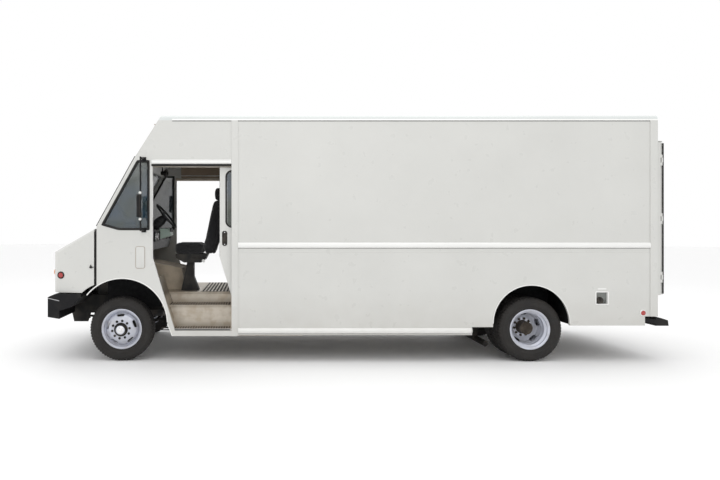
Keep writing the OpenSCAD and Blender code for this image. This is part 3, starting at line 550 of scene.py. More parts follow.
WHITE = (0.62, 0.62, 0.595)
LOOKS = {
    "body_white": paint("body_paint", WHITE),
    "roof_white": paint("roof_paint", (0.66, 0.69, 0.68), dirt=0.1),
    "trim_white": paint("trim_paint", (0.84, 0.84, 0.82), coat=0.8, gloss=(0.15, 0.25)),
    "chassis_black": coated("chassis_coat", (0.008, 0.008, 0.008), (0.5, 0.75), 0.12, 0.0015, scale=70),
    "bumper_black": coated("bumper_coat", (0.006, 0.006, 0.007), (0.36, 0.55), 0.04, 0.0004, scale=220),
    "engine_grey": coated("engine_iron", (0.10, 0.10, 0.10), (0.55, 0.8), 0.45, 0.003, 0.5, 45),
    "exhaust_steel": coated("exhaust_pipe", (0.012, 0.011, 0.010), (0.5, 0.75), 0.12, 0.001, 0.6, 110),
    "liner_black": plastic("liner", (0.006, 0.006, 0.007), (0.6, 0.85), 120),
    "deck_aluminium": sheet_metal("deck", (0.52, 0.47, 0.40)),
    "engine_cover_tan": padding("cover_padding", (0.52, 0.44, 0.34)),
    "cab_plastic": plastic("dash_plastic", (0.016, 0.017, 0.018)),
    "panel_green": plastic("gauge_panel", (0.55, 0.68, 0.60), (0.35, 0.5), 500),
    "seat_frame": coated("seat_frame_coat", (0.010, 0.010, 0.010), (0.4, 0.6), 0.12),
    "seat_fabric": woven("seat_cloth", (0.016, 0.016, 0.017)),
    "seat_vinyl": plastic("seat_vinyl", (0.010, 0.010, 0.011), (0.35, 0.5), 900),
    "tyre": rubber("tyre_rubber"),
    "rubber_seal": rubber("seal_rubber", (0.008, 0.008, 0.008)),
    "rim_silver": silver_wheel("wheel_enamel", (0.56, 0.58, 0.65)),
    "wheel_cap_black": coated("hub_black", (0.012, 0.011, 0.010), (0.3, 0.5), 0.2),
    "hub_brown": coated("hub_grease", (0.045, 0.036, 0.028), (0.4, 0.65), 0.3, 0.002, 0.4, 90),
    "bright_metal": polished("bright_plating", (0.78, 0.78, 0.79)),
    "steel": polished("plain_steel", (0.55, 0.55, 0.56), 0.3),
    "mirror_face": polished("mirror_glass", (0.86, 0.88, 0.89), 0.02),
    "glass": glazing("window_glass", (0.020, 0.030, 0.028), 0.66),
    "glass_dark": glazing("rear_window_glass", (0.015, 0.020, 0.022), 0.75),
    "lamp_clear": lens("clear_lens", (0.72, 0.74, 0.78)),
    "lamp_red": lens("red_lens", (0.36, 0.015, 0.012), 0.05),
    "lamp_amber": lens("amber_lens", (0.75, 0.22, 0.015), 0.05),
    "knob_white": plastic("white_knob", (0.78, 0.78, 0.76), (0.25, 0.35), 400),
    "plate_blank": paint("plate_enamel", (0.80, 0.80, 0.78), coat=0.2),
    "ceiling_brown": plastic("cab_lining", (0.36, 0.28, 0.21), (0.5, 0.7), 90),
    "cup_grey": coated("filler_cup", (0.22, 0.23, 0.22), (0.4, 0.6), 0.2, metal=0.3),
    "tread_grit": coated("tread_grit", (0.035, 0.030, 0.024), (0.6, 0.85), 0.3, 0.002, scale=240),
    "ground": ground("studio_floor"),
}

NODE_LOOKS = {"cab_front": "body_white", "radiator": "chassis_black", "rear_glass_left": "glass_dark",
              "rear_glass_right": "glass_dark"}


def dress_cad_nodes():
    """Gives every CAD node the look of its record slot, or the look listed for it in NODE_LOOKS."""
    for row in frame["record"]["subparts"]:
        node = frame["nodes"][row["node"]]
        look = LOOKS[NODE_LOOKS.get(row["node"], row["material_slot"])]
        shade_node(node, look)


def shade_node(node, look):
    """Puts one material on a CAD node."""
    node.data.materials.clear()
    node.data.materials.append(look)




# ---------------------------------------------------------------- wheels

def tyre_places():
    """Name, CAD node, body, centre, outward direction and width of each single tyre."""
    rows = []
    for side, sign in SIDES:
        lo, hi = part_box(f"front_tyre_{side}")
        width = hi.y - lo.y
        out = AX["y"] * sign
        rows.append((f"front_tread_{side}", f"front_tyre_{side}", f"front_wheel_{side}", (lo + hi) / 2, out,
                     width))
        lo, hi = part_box(f"rear_tyres_{side}")
        centre = (lo + hi) / 2
        reach = (hi.y - lo.y - width) / 2
        for place, shift in (("outer", reach), ("inner", -reach)):
            rows.append((f"rear_tread_{side}_{place}", f"rear_tyres_{side}", f"rear_wheels_{side}",
                         centre + out * shift, out, width))
    return rows


def tyre_section(r, half, notch):
    """(radius, height) points from the inner bead over the tread to the outer bead."""
    bead = r - BEAD_DEPTH
    side = [(bead, 0.082), (bead + 0.012, 0.094), (bead + 0.026, half - 0.020), (bead + 0.034, half - 0.019),
            (bead + 0.040, half - 0.010), (bead + 0.062, half - 0.003), (bead + 0.066, half + 0.0005),
            (bead + 0.070, half - 0.002), (bead + 0.098, half - 0.001), (bead + 0.118, half - 0.004),
            (bead + 0.121, half - 0.0015), (bead + 0.127, half - 0.0045), (bead + 0.140, half - 0.011)]
    shoulder_cut = 0.009 if notch else 0.0
    shoulder = [(r - 0.020 - shoulder_cut, half - 0.017), (r - 0.008 - shoulder_cut, half - 0.026),
                (r - 0.003 - shoulder_cut, half - 0.036)]
    groove_w, groove_d = 0.0045, 0.011
    tread = []
    for middle in (0.060, 0.021):
        cut = shoulder_cut if middle > 0.05 else (0.004 if notch else 0.0)
        tread += [(r - 0.0015 - cut, middle + groove_w + 0.001), (r - groove_d, middle + groove_w - 0.001),
                  (r - groove_d, middle - groove_w + 0.001), (r - 0.001, middle - groove_w - 0.001)]
    crown = [(r - (0.004 if notch else 0.0), 0.008)]
    half_side = side + shoulder + tread + crown
    return [(a, -b) for a, b in half_side] + half_side[::-1]


def tyres():
    """Treaded tyres: ribs with lateral notches, shoulder blocks and ringed side walls."""
    segments, pitch = 264, 4
    for name, node, body, centre, out, width in tyre_places():
        lo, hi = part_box(node)
        r = (hi.z - lo.z) / 2
        u, v = cross_axes(out)
        rings = []
        for k in range(segments):
            a = 2 * math.pi * k / segments
            ray = u * math.cos(a) + v * math.sin(a)
            section = tyre_section(r, width / 2, k % pitch == 0)
            rings.append([centre + ray * p + out * h for p, h in section])
        inner = [(r - 0.024, 0.075), (r - BEAD_DEPTH, 0.066)]
        shape = Shape()
        loops = []
        for k, ring in enumerate(rings):
            a = 2 * math.pi * k / segments
            ray = u * math.cos(a) + v * math.sin(a)
            back = [centre + ray * p + out * h for p, h in inner]
            front = [centre + ray * p - out * h for p, h in inner[::-1]]
            loops.append(ring + back[::-1] + front[::-1])
        shape.loft(loops, closed=True)
        piece = shape.make(name, LOOKS["tyre"], body, "tyre", sharp=28)
        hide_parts(node)


def nut_ring(shape, centre, out, pcd_r, count, r, height, turn=0.0):
    """Ring of hexagonal nuts with washers and stud ends on a face."""
    u, v = cross_axes(out)
    for k in range(count):
        a = 2 * math.pi * k / count + turn
        foot = centre + (u * math.cos(a) + v * math.sin(a)) * pcd_r
        shape.rod(foot - out * 0.002, foot + out * 0.004, r * 1.35, 20)
        shape.rod(foot + out * 0.003, foot + out * height * 0.75, r * 1.12, 6)
        shape.rod(foot + out * height * 0.74, foot + out * height * 0.86, r * 1.05, 6, r * 0.8)
        shape.rod(foot + out * height * 0.7, foot + out * height * 1.15, r * 0.55, 12)


def front_hubs():
    """Lug nuts, black hub ring and silver cap with a crossed face on each front wheel."""
    for side, sign in SIDES:
        lo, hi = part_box(f"front_tyre_{side}")
        centre, out = (lo + hi) / 2, AX["y"] * sign
        rim_lo, rim_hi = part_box(f"front_rim_{side}")
        end = max(abs(rim_lo.y), abs(rim_hi.y)) - abs(centre.y)
        face = end - 0.040
        body = f"front_wheel_{side}"
        nuts = Shape()
        nut_ring(nuts, centre + out * face, out, 0.115, 10, 0.012, 0.024, 0.16)
        nuts.make(f"front_lug_nuts_{side}", LOOKS["wheel_cap_black"], body, "wheel_cap_black", sharp=30)
        ring = Shape()
        ring.lathe([(0.058, face - 0.004), (0.088, face - 0.004), (0.090, face + 0.004),
                    (0.084, face + 0.010),
                    (0.076, face + 0.012), (0.070, face + 0.020), (0.068, face + 0.034),
                    (0.064, face + 0.040),
                    (0.058, face + 0.041), (0.058, face - 0.004)], centre, out, 72)
        nut_ring(ring, centre + out * (face + 0.008), out, 0.077, 8, 0.0042, 0.006, 0.3)
        ring.make(f"front_hub_ring_{side}", LOOKS["wheel_cap_black"], body, "wheel_cap_black", sharp=30)
        cap = Shape()
        cap.lathe([(0.0, end + 0.013), (0.020, end + 0.012), (0.023, end + 0.006), (0.041, end + 0.004),
                   (0.047, end + 0.001), (0.052, end - 0.006), (0.0, end - 0.006)], centre, out, 48)
        u, v = cross_axes(out)
        for k in range(4):
            a = math.pi / 4 + k * math.pi / 2
            ray = u * math.cos(a) + v * math.sin(a)
            tangent = ray.cross(out)
            low = [centre + ray * p + tangent * q + out * (end + 0.003)
                   for p, q in ((0.018, -0.007), (0.044, -0.009), (0.044, 0.009), (0.018, 0.007))]
            cap.prism(low, out * 0.006)
        cap.make(f"front_hub_cap_{side}", LOOKS["bright_metal"], body, "bright_metal", bevel=0.001, sharp=30)
        valve(f"front_valve_{side}", centre + out * (face - 0.035), out, 0.165, body)


def valve(name, centre, out, reach, body):
    """Tyre valve: a bent steel stem with a cap beside a hand hole."""
    u, v = cross_axes(out)
    a = math.radians(200)
    ray = u * math.cos(a) + v * math.sin(a)
    foot = centre + ray * (reach + 0.045) - out * 0.02
    tip = foot + out * 0.052 - ray * 0.026
    shape = Shape()
    shape.tube([foot, foot + out * 0.018 - ray * 0.004, foot + out * 0.034 - ray * 0.014, tip], 0.0042, 10)
    shape.rod(tip, tip + (out * 0.018 - ray * 0.012), 0.0058, 12)
    shape.make(name, LOOKS["steel"], body, "bright_metal", sharp=30)


def rear_hubs():
    """Lug nuts, axle flange and its bolts, deep in each rear wheel's dish."""
    for side, sign in SIDES:
        lo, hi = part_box(f"rear_rims_{side}")
        centre, out = (lo + hi) / 2, AX["y"] * sign
        body = f"rear_wheels_{side}"
        nuts = Shape()
        nut_ring(nuts, centre + out * 0.012, out, 0.112, 10, 0.0125, 0.026, 0.1)
        nuts.make(f"rear_lug_nuts_{side}", LOOKS["hub_brown"], body, "wheel_cap_black", sharp=30)
        hub = Shape()
        end = 0.130
        hub.lathe([(0.0, end + 0.022), (0.030, end + 0.020), (0.038, end + 0.014), (0.044, end + 0.013),
                   (0.078, end + 0.012), (0.083, end + 0.009), (0.084, end - 0.006), (0.0815, end - 0.008),
                   (0.0815, 0.045), (0.090, 0.030), (0.092, 0.014), (0.0, 0.014)], centre, out, 64)
        nut_ring(hub, centre + out * (end + 0.012), out, 0.062, 8, 0.0075, 0.012)
        hub.make(f"rear_axle_flange_{side}", LOOKS["hub_brown"], body, "wheel_cap_black", sharp=30)
        valve(f"rear_valve_{side}", centre + out * 0.02, out, 0.150, body)


def brake_details():
    """Clamp bolts, nuts and bars over the spring seats of both axles."""
    for side, sign in SIDES:
        axle_x = {end: (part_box(node)[0].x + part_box(node)[1].x) / 2
                  for end, node in (("front", f"front_tyre_{side}"), ("rear", f"rear_tyres_{side}"))}
        spring_y = sign * (abs(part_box("frame_rails")[0].y) - 0.014 - 0.0325)
        clamps = Shape()
        for end, low, high in (("front", 0.28, 0.47), ("rear", 0.33, 0.60)):
            for dx in (-0.055, 0.055):
                for dy in (-0.040, 0.040):
                    foot = Vector((axle_x[end] + dx, spring_y + dy, low))
                    clamps.rod(foot, foot + AX["z"] * (high - low), 0.008, 10)
                    clamps.rod(foot - AX["z"] * 0.004, foot + AX["z"] * 0.012, 0.014, 6)
            bar = Vector((axle_x[end], spring_y, high))
            clamps.box(bar - Vector((0.075, 0.05, 0.0)), bar + Vector((0.075, 0.05, 0.014)))
        clamps.make(f"spring_clamps_{side}", LOOKS["chassis_black"], "chassis", "chassis_black", bevel=0.002)


def brake_drums():
    """Dark finned drums inside each wheel, seen through the hand holes."""
    for side, sign in SIDES:
        out = AX["y"] * sign
        for end, node, body, r in (("front", f"front_tyre_{side}", f"front_wheel_{side}", 0.185),
                                   ("rear", f"rear_tyres_{side}", f"rear_wheels_{side}", 0.196)):
            lo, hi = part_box(node)
            centre = (lo + hi) / 2
            depth = -0.025
            if end == "front":
                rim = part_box(f"front_rim_{side}")
                depth = max(abs(rim[0].y), abs(rim[1].y)) - abs(centre.y) - 0.125
            shape = Shape()
            profile = [(0.070, depth), (r - 0.010, depth), (r, depth - 0.008)]
            for k in range(4):
                z = depth - 0.012 - k * 0.007
                profile += [(r - 0.004, z), (r - 0.004, z - 0.003), (r, z - 0.003), (r, z - 0.006)]
            profile += [(r - 0.012, depth - 0.046), (0.070, depth - 0.046), (0.070, depth)]
            shape.lathe(profile, centre, out, 64)
            shape.make(f"{end}_brake_drum_{side}", LOOKS["chassis_black"], body, "chassis_black", sharp=30)




# ---------------------------------------------------------------- body trim

def surface_tree(mesh):
    """Search tree over a mesh's faces, for casting rays at it."""
    return BVHTree.FromPolygons([v.co.copy() for v in mesh.vertices],
                                [tuple(p.vertices) for p in mesh.polygons])


def skin_finder(node):
    """Returns a function that finds where a ray first meets a CAD node, and the way it faces there."""
    tree = surface_tree(frame["nodes"][node].data)

    def find(start, direction):
        place, normal, _, _ = tree.ray_cast(start, direction)
        if normal.dot(direction) > 0:
            normal = -normal
        return place, normal

    return find


def outermost(node, direction):
    """The closed outline of a node's flat faces that lies furthest in a direction."""
    return max(outlines(node, direction), key=lambda loop: loop[0].dot(direction))


def window_gaskets():
    """Black rubber round the quarter windows, windshield, door windows and rear windows."""
    for side, sign in SIDES:
        out = AX["y"] * sign
        pane = outermost("cab_glass", out)
        depth = HALF_W - abs(pane[0].y)
        shape = Shape()
        shape.frame(rounded(pane, 0.03), out, 0.032, depth + 0.005, 0.012, 0.004)
        shape.make(f"quarter_gasket_{side}", LOOKS["rubber_seal"], "chassis", "rubber_seal", sharp=50)
        for node, body, face in ((f"door_glass_{side}", f"side_door_{side}", out),
                                 (f"door_glass_{side}", f"side_door_{side}", -out),
                                 (f"rear_glass_{side}", f"back_door_{side}", AX["x"]),
                                 (f"rear_glass_{side}", f"back_door_{side}", -AX["x"])):
            pane = outermost(node, face)
            inside = face in (-out, -AX["x"])
            name = node.replace("glass", "gasket_inner" if inside else "gasket")
            thick = 0.014 if node.startswith("door") else (0.019 if not inside else 0.022)
            shape = Shape()
            shape.frame(pane, face, 0.022, thick, 0.002, 0.010)
            shape.make(name, LOOKS["rubber_seal"], body, "rubber_seal", sharp=50)
    lean = shield_normal()
    pane = outermost("cab_glass", lean)
    shape = Shape()
    shape.frame(rounded(pane, 0.06), lean, 0.040, 0.016, 0.006, 0.012)
    low, high = (min(pane, key=lambda p: p.z), max(pane, key=lambda p: p.z))
    across = AX["y"] * 0.018
    base = [Vector((low.x, 0, low.z)) - across, Vector((low.x, 0, low.z)) + across,
            Vector((high.x, 0, high.z)) + across, Vector((high.x, 0, high.z)) - across]
    shape.prism([p - lean * 0.001 for p in base], lean * 0.011)
    shape.make("windshield_gasket", LOOKS["rubber_seal"], "chassis", "rubber_seal", sharp=50)


def shield_normal():
    """Outward direction of the leaning windshield, from its CAD faces."""
    faces = [p for p in frame["nodes"]["cab_glass"].data.polygons
             if p.normal.x < -0.5 and abs(p.normal.y) < 0.01]
    return max(faces, key=lambda p: p.area).normal.copy()


def cab_trim():
    """Seal along the front pillars, and the header gutter over the doorway and its black seal."""
    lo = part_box("cab_sides")[0]
    lean = shield_normal()
    slope = Vector((lean.z, 0, -lean.x))
    door_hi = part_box("step_wells")[1]
    for side, sign in SIDES:
        out = AX["y"] * sign
        skin = HALF_W * sign
        foot = Vector((lo.x, skin - 0.012 * sign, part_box("cab_glass")[0].z + 0.053))
        top = foot + slope * ((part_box("cab_glass")[1].z - foot.z + 0.05) / slope.z)
        shape = Shape()
        shape.tube([foot + lean * 0.004, top + lean * 0.004], 0.008, 8)
        shape.make(f"pillar_seal_{side}", LOOKS["rubber_seal"], "chassis", "rubber_seal")
        header_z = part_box(f"sliding_door_{side}")[1].z + 0.013
        start, end = Vector((FRONT + 1.351, skin, header_z)), Vector((door_hi.x - 0.002, skin, header_z))
        gutter = Shape()
        length = AX["x"] * (end.x - start.x)
        profile = [(0, 0.030), (0.010, 0.033), (0.014, 0.038), (0.014, 0.064), (0.010, 0.070), (0.007, 0.074),
                   (0.012, 0.078), (0.012, 0.084), (0, 0.088)]
        gutter.prism([start + out * p + AX["z"] * q for p, q in profile], length)
        gutter.make(f"header_gutter_{side}", LOOKS["trim_white"], "chassis", "trim_white", bevel=0.0015)
        seal = Shape()
        profile = [(-0.030, 0.0005), (0.006, 0.0005), (0.011, 0.005), (0.011, 0.022), (0.004, 0.028),
                   (0.0005, 0.028),
                   (0.0005, 0.006), (-0.030, 0.006)]
        seal.prism([start + out * (p - 0.0) + AX["z"] * (q - 0.001) for p, q in profile], length)
        seal.make(f"header_seal_{side}", LOOKS["rubber_seal"], "chassis", "rubber_seal")


def arch_lips():
    """Rolled white lips round the wheel arches, and the black seal between nose and cab."""
    for side, sign in SIDES:
        skin = HALF_W * sign
        wheel = {end: (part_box(node)[0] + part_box(node)[1]) / 2
                 for end, node in (("front", f"front_tyre_{side}"), ("rear", f"rear_tyres_{side}"))}
        front_c = Vector((wheel["front"].x + 0.028, skin, 0.505))
        shape = Shape()
        shape.tube(arc(front_c, 0.590, 141, 2), 0.008, 10)
        shape.tube([front_c + Vector((0.590, 0, 0)), front_c + Vector((0.655, 0, -0.160))], 0.008, 10)
        shape.make(f"front_arch_lip_{side}", LOOKS["trim_white"], "chassis", "trim_white")
        rear_c = Vector((wheel["rear"].x - 0.008, skin, 0.507))
        shape = Shape()
        shape.tube(arc(rear_c, 0.500, 180, 0), 0.007, 10)
        shape.make(f"rear_arch_lip_{side}", LOOKS["trim_white"], "chassis", "trim_white")
    nose_lo, nose_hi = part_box("hood")
    x = (nose_hi.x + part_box("cab_front")[0].x) / 2
    path = []
    for sign in (-1, 1):
        rows = [(HALF_W - 0.030, nose_lo.z + 0.06), (HALF_W - 0.030, nose_hi.z - 0.30),
                (HALF_W - 0.034, nose_hi.z - 0.115), (HALF_W - 0.070, nose_hi.z - 0.055),
                (HALF_W - 0.35, nose_hi.z - 0.012), (0.45, nose_hi.z + 0.010)]
        side_path = [Vector((x, y * sign, z)) for y, z in rows]
        path += side_path if sign < 0 else side_path[::-1]
    shape = Shape()
    shape.tube(path, 0.014, 10)
    shape.make("cowl_seal", LOOKS["rubber_seal"], "chassis", "rubber_seal")


def arc(centre, r, start, end, n=48):
    """Points on an upright arc along the vehicle, angles in degrees from straight back."""
    points = []
    for k in range(n + 1):
        a = math.radians(start + (end - start) * k / n)
        points.append(centre + Vector((math.cos(a), 0, math.sin(a))) * r)
    return points


def marker(name, place, normal, body, r, ring_look, ring_slot):
    """Round side marker: a domed red lens in a ring."""
    lamp = Shape()
    lamp.lathe([(0.0, 0.015), (r * 0.35, 0.0145), (r * 0.7, 0.012), (r * 0.92, 0.008), (r, 0.002),
                (r, -0.004),
                (0.0, -0.004)], place, normal, 40)
    lamp.make(f"{name}_lens", LOOKS["lamp_red"], body, "lamp_red", sharp=50)
    ring = Shape()
    ring.lathe([(r * 0.96, -0.004), (r * 0.96, 0.009), (r * 1.06, 0.011), (r * 1.28, 0.007), (r * 1.34, 0.0),
                (r * 1.34, -0.004), (r * 0.96, -0.004)], place, normal, 40)
    ring.make(f"{name}_ring", ring_look, body, ring_slot, sharp=50)


def side_fittings():
    """Marker lamps, access hatch, panel lap and the fuel filler."""
    nose = skin_finder("hood")
    for side, sign in SIDES:
        out = AX["y"] * sign
        skin = HALF_W * sign
        place, normal = nose(at(150, 2000 * sign, 1131), -out)
        marker(f"front_marker_{side}", place, normal, "nose", 0.036, LOOKS["rubber_seal"], "rubber_seal")
        marker(f"rear_marker_{side}", at(7741, skin * 1000, 645), out, "chassis", 0.033, LOOKS["trim_white"],
               "trim_white")
        hatch = Shape()
        centre = at(1205, skin * 1000, 1367)
        outline = round_rect(centre, AX["x"], AX["z"], 0.112, 0.275, 0.02)
        hatch.loft([[p - out * 0.002 for p in outline], [p + out * 0.005 for p in outline],
                    [p + out * 0.0075 for p in grow(outline, out, -0.004)]])
        hatch.make(f"access_hatch_{side}", LOOKS["body_white"], "chassis", "body_white", sharp=50)
        rim = Shape()
        rim.frame(grow(outline, out, 0.006), out, 0.004, 0.0035, 0.002)
        rim.make(f"access_hatch_seal_{side}", LOOKS["ceiling_brown"], "chassis", "rubber_seal", sharp=50)
        lap = Shape()
        wall_lo, wall_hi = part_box("body_sides")
        start = Vector((wall_lo.x + 0.084, skin, 1.444))
        profile = [(-0.001, -0.012), (0.0022, -0.010), (0.003, 0.0), (0.0022, 0.006), (-0.001, 0.008)]
        lap.prism([start + out * p + AX["z"] * q for p, q in profile],
                  AX["x"] * (wall_hi.x - wall_lo.x - 0.182))
        lap.make(f"panel_lap_{side}", LOOKS["body_white"], "chassis", "body_white", sharp=50)
    filler()


def filler():
    """Filler recess on the driver's side: bright frame, sloped cup, black cap on a neck and a vent slot."""
    out = -AX["y"]
    centre = at(6300 + 830 + 78, -HALF_W * 1000, 760 + 78)
    frame_ring = Shape()
    frame_ring.frame(round_rect(centre, AX["x"], AX["z"], 0.176, 0.176, 0.016), out, 0.014, 0.005, 0.030)
    frame_ring.make("filler_frame", LOOKS["trim_white"], "chassis", "trim_white", sharp=50)
    cup = Shape()
    back = centre - out * 0.028
    cup.prism(round_rect(back, AX["x"], AX["z"], 0.150, 0.150, 0.01), -out * 0.004)
    cup.make("filler_cup", LOOKS["cup_grey"], "chassis", "deck_aluminium")
    cap = Shape()
    neck = centre + Vector((-0.024, 0, -0.036)) - out * 0.026
    tilt = (out + AX["z"] * 0.35).normalized()
    cap.lathe([(0.0, -0.01), (0.026, -0.01), (0.026, 0.010), (0.040, 0.012), (0.043, 0.016), (0.043, 0.030),
               (0.038, 0.034), (0.0, 0.034)], neck, tilt, 36)
    side_way = AX["x"] * 0.006
    ridge = neck + tilt * 0.033
    cap.prism([ridge - side_way - AX["z"] * 0.03, ridge + side_way - AX["z"] * 0.03,
               ridge + side_way + AX["z"] * 0.03, ridge - side_way + AX["z"] * 0.03], tilt * 0.009)
    chain = neck + Vector((0.03, 0, -0.02))
    cap.tube([chain, chain + Vector((0.03, -0.006, -0.016)), chain + Vector((0.044, -0.006, 0.002)),
              chain + Vector((0.052, 0.004, 0.03))], 0.0025, 8)
    cap.make("filler_cap", LOOKS["wheel_cap_black"], "chassis", "wheel_cap_black", sharp=40)
    vent = Shape()
    vent.prism(round_rect(centre + AX["z"] * 0.121, AX["x"], AX["z"], 0.115, 0.018, 0.008), out * 0.004)
    vent.make("filler_vent", LOOKS["trim_white"], "chassis", "trim_white", bevel=0.001)


def sliding_door_fittings():
    """Handle plates with their screws, and edge seals of both sliding doors."""
    for side, sign in SIDES:
        out = AX["y"] * sign
        lo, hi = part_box(f"sliding_door_{side}")
        body = f"side_door_{side}"
        face_y = lo.y if sign < 0 else hi.y
        centre = Vector((lo.x + 0.064, face_y, 1.614))
        shape = Shape()
        outline = round_rect(centre, AX["x"], AX["z"], 0.068, 0.196, 0.030)
        steps = ((0.0, -0.001), (0.0, 0.004), (-0.004, 0.007), (-0.010, 0.007), (-0.016, 0.001))
        shape.loft([[p + out * h for p in grow(outline, out, g)] for g, h in steps])
        pull = centre + out * 0.001
        shape.box(pull + Vector((-0.008, -0.004, -0.060)), pull + Vector((0.008, 0.004, 0.060)))
        shape.make(f"door_handle_{side}", LOOKS["wheel_cap_black"], body, "wheel_cap_black", bevel=0.0015)
        screw = Shape()
        for z in (-0.078, 0.078):
            screw.rod(centre + AX["z"] * z, centre + AX["z"] * z + out * 0.0095, 0.007, 14)
        screw.make(f"door_handle_screws_{side}", LOOKS["bright_metal"], body, "bright_metal")
        seal = Shape()
        edge = Vector((lo.x + 0.002, (lo.y + hi.y) / 2, 1.372))
        seal.tube([edge, Vector((edge.x, edge.y, hi.z - 0.01))], 0.006, 8)
        seal.make(f"door_edge_seal_{side}", LOOKS["rubber_seal"], body, "rubber_seal")


def roof_and_rear_lamps():
    """Clearance lamps front and rear, tail lamps, blank rear plate and its lamp."""
    wall_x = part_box("body_sides")[1].x
    for name, look, rows in (("rear_clearance_lamps", "lamp_red", (-1.08, -0.18, 0, 0.18, 1.08)),):
        shape = Shape()
        for y in rows:
            shape.loft(dome_strip(Vector((wall_x, y, 3.02)), AX["x"], AX["y"], AX["z"], 0.10, 0.034, 0.016))
        shape.make(name, LOOKS[look], "chassis", look, sharp=50)
    lean = header_normal()
    up = Vector((lean.z, 0, -lean.x))
    header = skin_finder("cab_front")
    shape = Shape()
    for y in (-1.02, -0.17, 0, 0.17, 1.02):
        place, _ = header(Vector((FRONT - 1, y, 2.93)), AX["x"])
        shape.loft(dome_strip(place, lean, AX["y"], up, 0.09, 0.032, 0.012))
    shape.make("front_clearance_lamps", LOOKS["lamp_amber"], "chassis", "lamp_amber", sharp=50)
    for side, sign in SIDES:
        for kind, look, y in (("stop", "lamp_red", 1.045), ("turn", "lamp_amber", 0.885),
                              ("reverse", "lamp_clear", 0.745)):
            r = 0.056 if kind != "reverse" else 0.046
            place = Vector((wall_x, y * sign, REAR_LAMP_Z))
            lamp = Shape()
            lamp.lathe([(0.0, 0.020), (r * 0.5, 0.018), (r * 0.9, 0.012), (r, 0.004), (r, -0.002),
                        (0.0, -0.002)],
                       place, AX["x"], 40)
            lamp.make(f"{kind}_lamp_{side}", LOOKS[look], "chassis", look, sharp=50)
            ring = Shape()
            ring.lathe([(r * 0.97, -0.002), (r * 0.98, 0.012), (r * 1.08, 0.014), (r * 1.2, 0.008),
                        (r * 1.22, -0.002),
                        (r * 0.97, -0.002)], place, AX["x"], 40)
            ring.make(f"{kind}_lamp_ring_{side}", LOOKS["rubber_seal"], "chassis", "rubber_seal", sharp=50)
    plate = Shape()
    plate.prism(round_rect(Vector((wall_x, -0.52, 0.722)), AX["y"], AX["z"], 0.305, 0.152, 0.012),
                AX["x"] * 0.004)
    plate.make("rear_plate", LOOKS["plate_blank"], "chassis", "plate_blank", bevel=0.001)
    light = Shape()
    light.loft(dome_strip(Vector((wall_x, -0.52, 0.815)), AX["x"], AX["y"], AX["z"], 0.09, 0.022, 0.03))
    light.make("rear_plate_lamp", LOOKS["lamp_clear"], "chassis", "lamp_clear", sharp=50)


def header_normal():
    """Outward direction of the sloped panel above the windshield."""
    faces = [p for p in frame["nodes"]["cab_front"].data.polygons
             if p.normal.x < -0.5 and p.center.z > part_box("cab_glass")[1].z + 0.1]
    return max(faces, key=lambda p: p.area).normal.copy()


def dome_strip(place, out, u, v, w, h, rise):
    """Rings of a low oblong lens that stands on a face."""
    outline = round_rect(place, u, v, w, h, h * 0.45)
    steps = ((0.0, -0.002), (0.0, 0.35), (-h * 0.12, 0.75), (-h * 0.30, 1.0))
    rings = []
    for g, share in steps:
        height = share * rise if share > 0 else share
        rings.append([p + out * height for p in grow(outline, out, g)])
    return rings


def rear_door_fittings():
    """Lock rods with guides, a handle and edge seals on the two rear doors, and the drip rail over them."""
    for side, sign in SIDES:
        lo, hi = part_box(f"rear_door_{side}")
        body = f"back_door_{side}"
        face = max(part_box(f"rear_door_{side}")[1].x, lo.x)
        rods = Shape()
        y = 0.11 * sign
        x = face + 0.018
        rods.rod(Vector((x, y, lo.z + 0.03)), Vector((x, y, hi.z - 0.03)), 0.011, 14)
        for z in (lo.z + 0.07, lo.z + 0.62, (lo.z + hi.z) / 2 + 0.25, hi.z - 0.09):
            rods.box((face - 0.001, y - 0.028, z - 0.022), (face + 0.006, y + 0.028, z + 0.022))
            rods.box((face, y - 0.016, z - 0.018), (face + 0.032, y + 0.016, z + 0.018))
        rods.make(f"rear_lock_rod_{side}", LOOKS["bright_metal"], body, "bright_metal", bevel=0.002)
        handle = Shape()
        grip_z = lo.z + 0.62
        hub = Vector((face + 0.036, y, grip_z))
        handle.rod(hub - AX["x"] * 0.012, hub + AX["x"] * 0.010, 0.020, 20)
        handle.tube([hub, hub + Vector((0.004, 0.05 * sign, 0.002)),
                     hub + Vector((0.008, 0.11 * sign, -0.004)),
                     hub + Vector((0.004, 0.20 * sign, -0.006))], 0.010, 12)
        handle.make(f"rear_door_handle_{side}", LOOKS["wheel_cap_black"], body, "wheel_cap_black")
        seal = Shape()
        edge = hi.y - 0.022 if sign > 0 else lo.y + 0.022
        seal.tube([Vector((face - 0.003, edge, lo.z + 0.012)), Vector((face - 0.003, edge, hi.z - 0.006))],
                  0.009, 10)
        seal.make(f"rear_door_seal_{side}", LOOKS["rubber_seal"], body, "rubber_seal")
    drip = Shape()
    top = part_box("rear_door_left")[1].z
    wall_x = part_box("body_sides")[1].x
    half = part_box("rear_door_right")[1].y
    profile = [(0.0, 0.030), (0.075, 0.022), (0.082, 0.008), (0.078, 0.006), (0.070, 0.016), (0.0, 0.020)]
    drip.prism([Vector((wall_x + p, -half, top + q)) for p, q in profile], AX["y"] * 2 * half)
    drip.make("rear_drip_rail", LOOKS["trim_white"], "chassis", "trim_white", bevel=0.001)


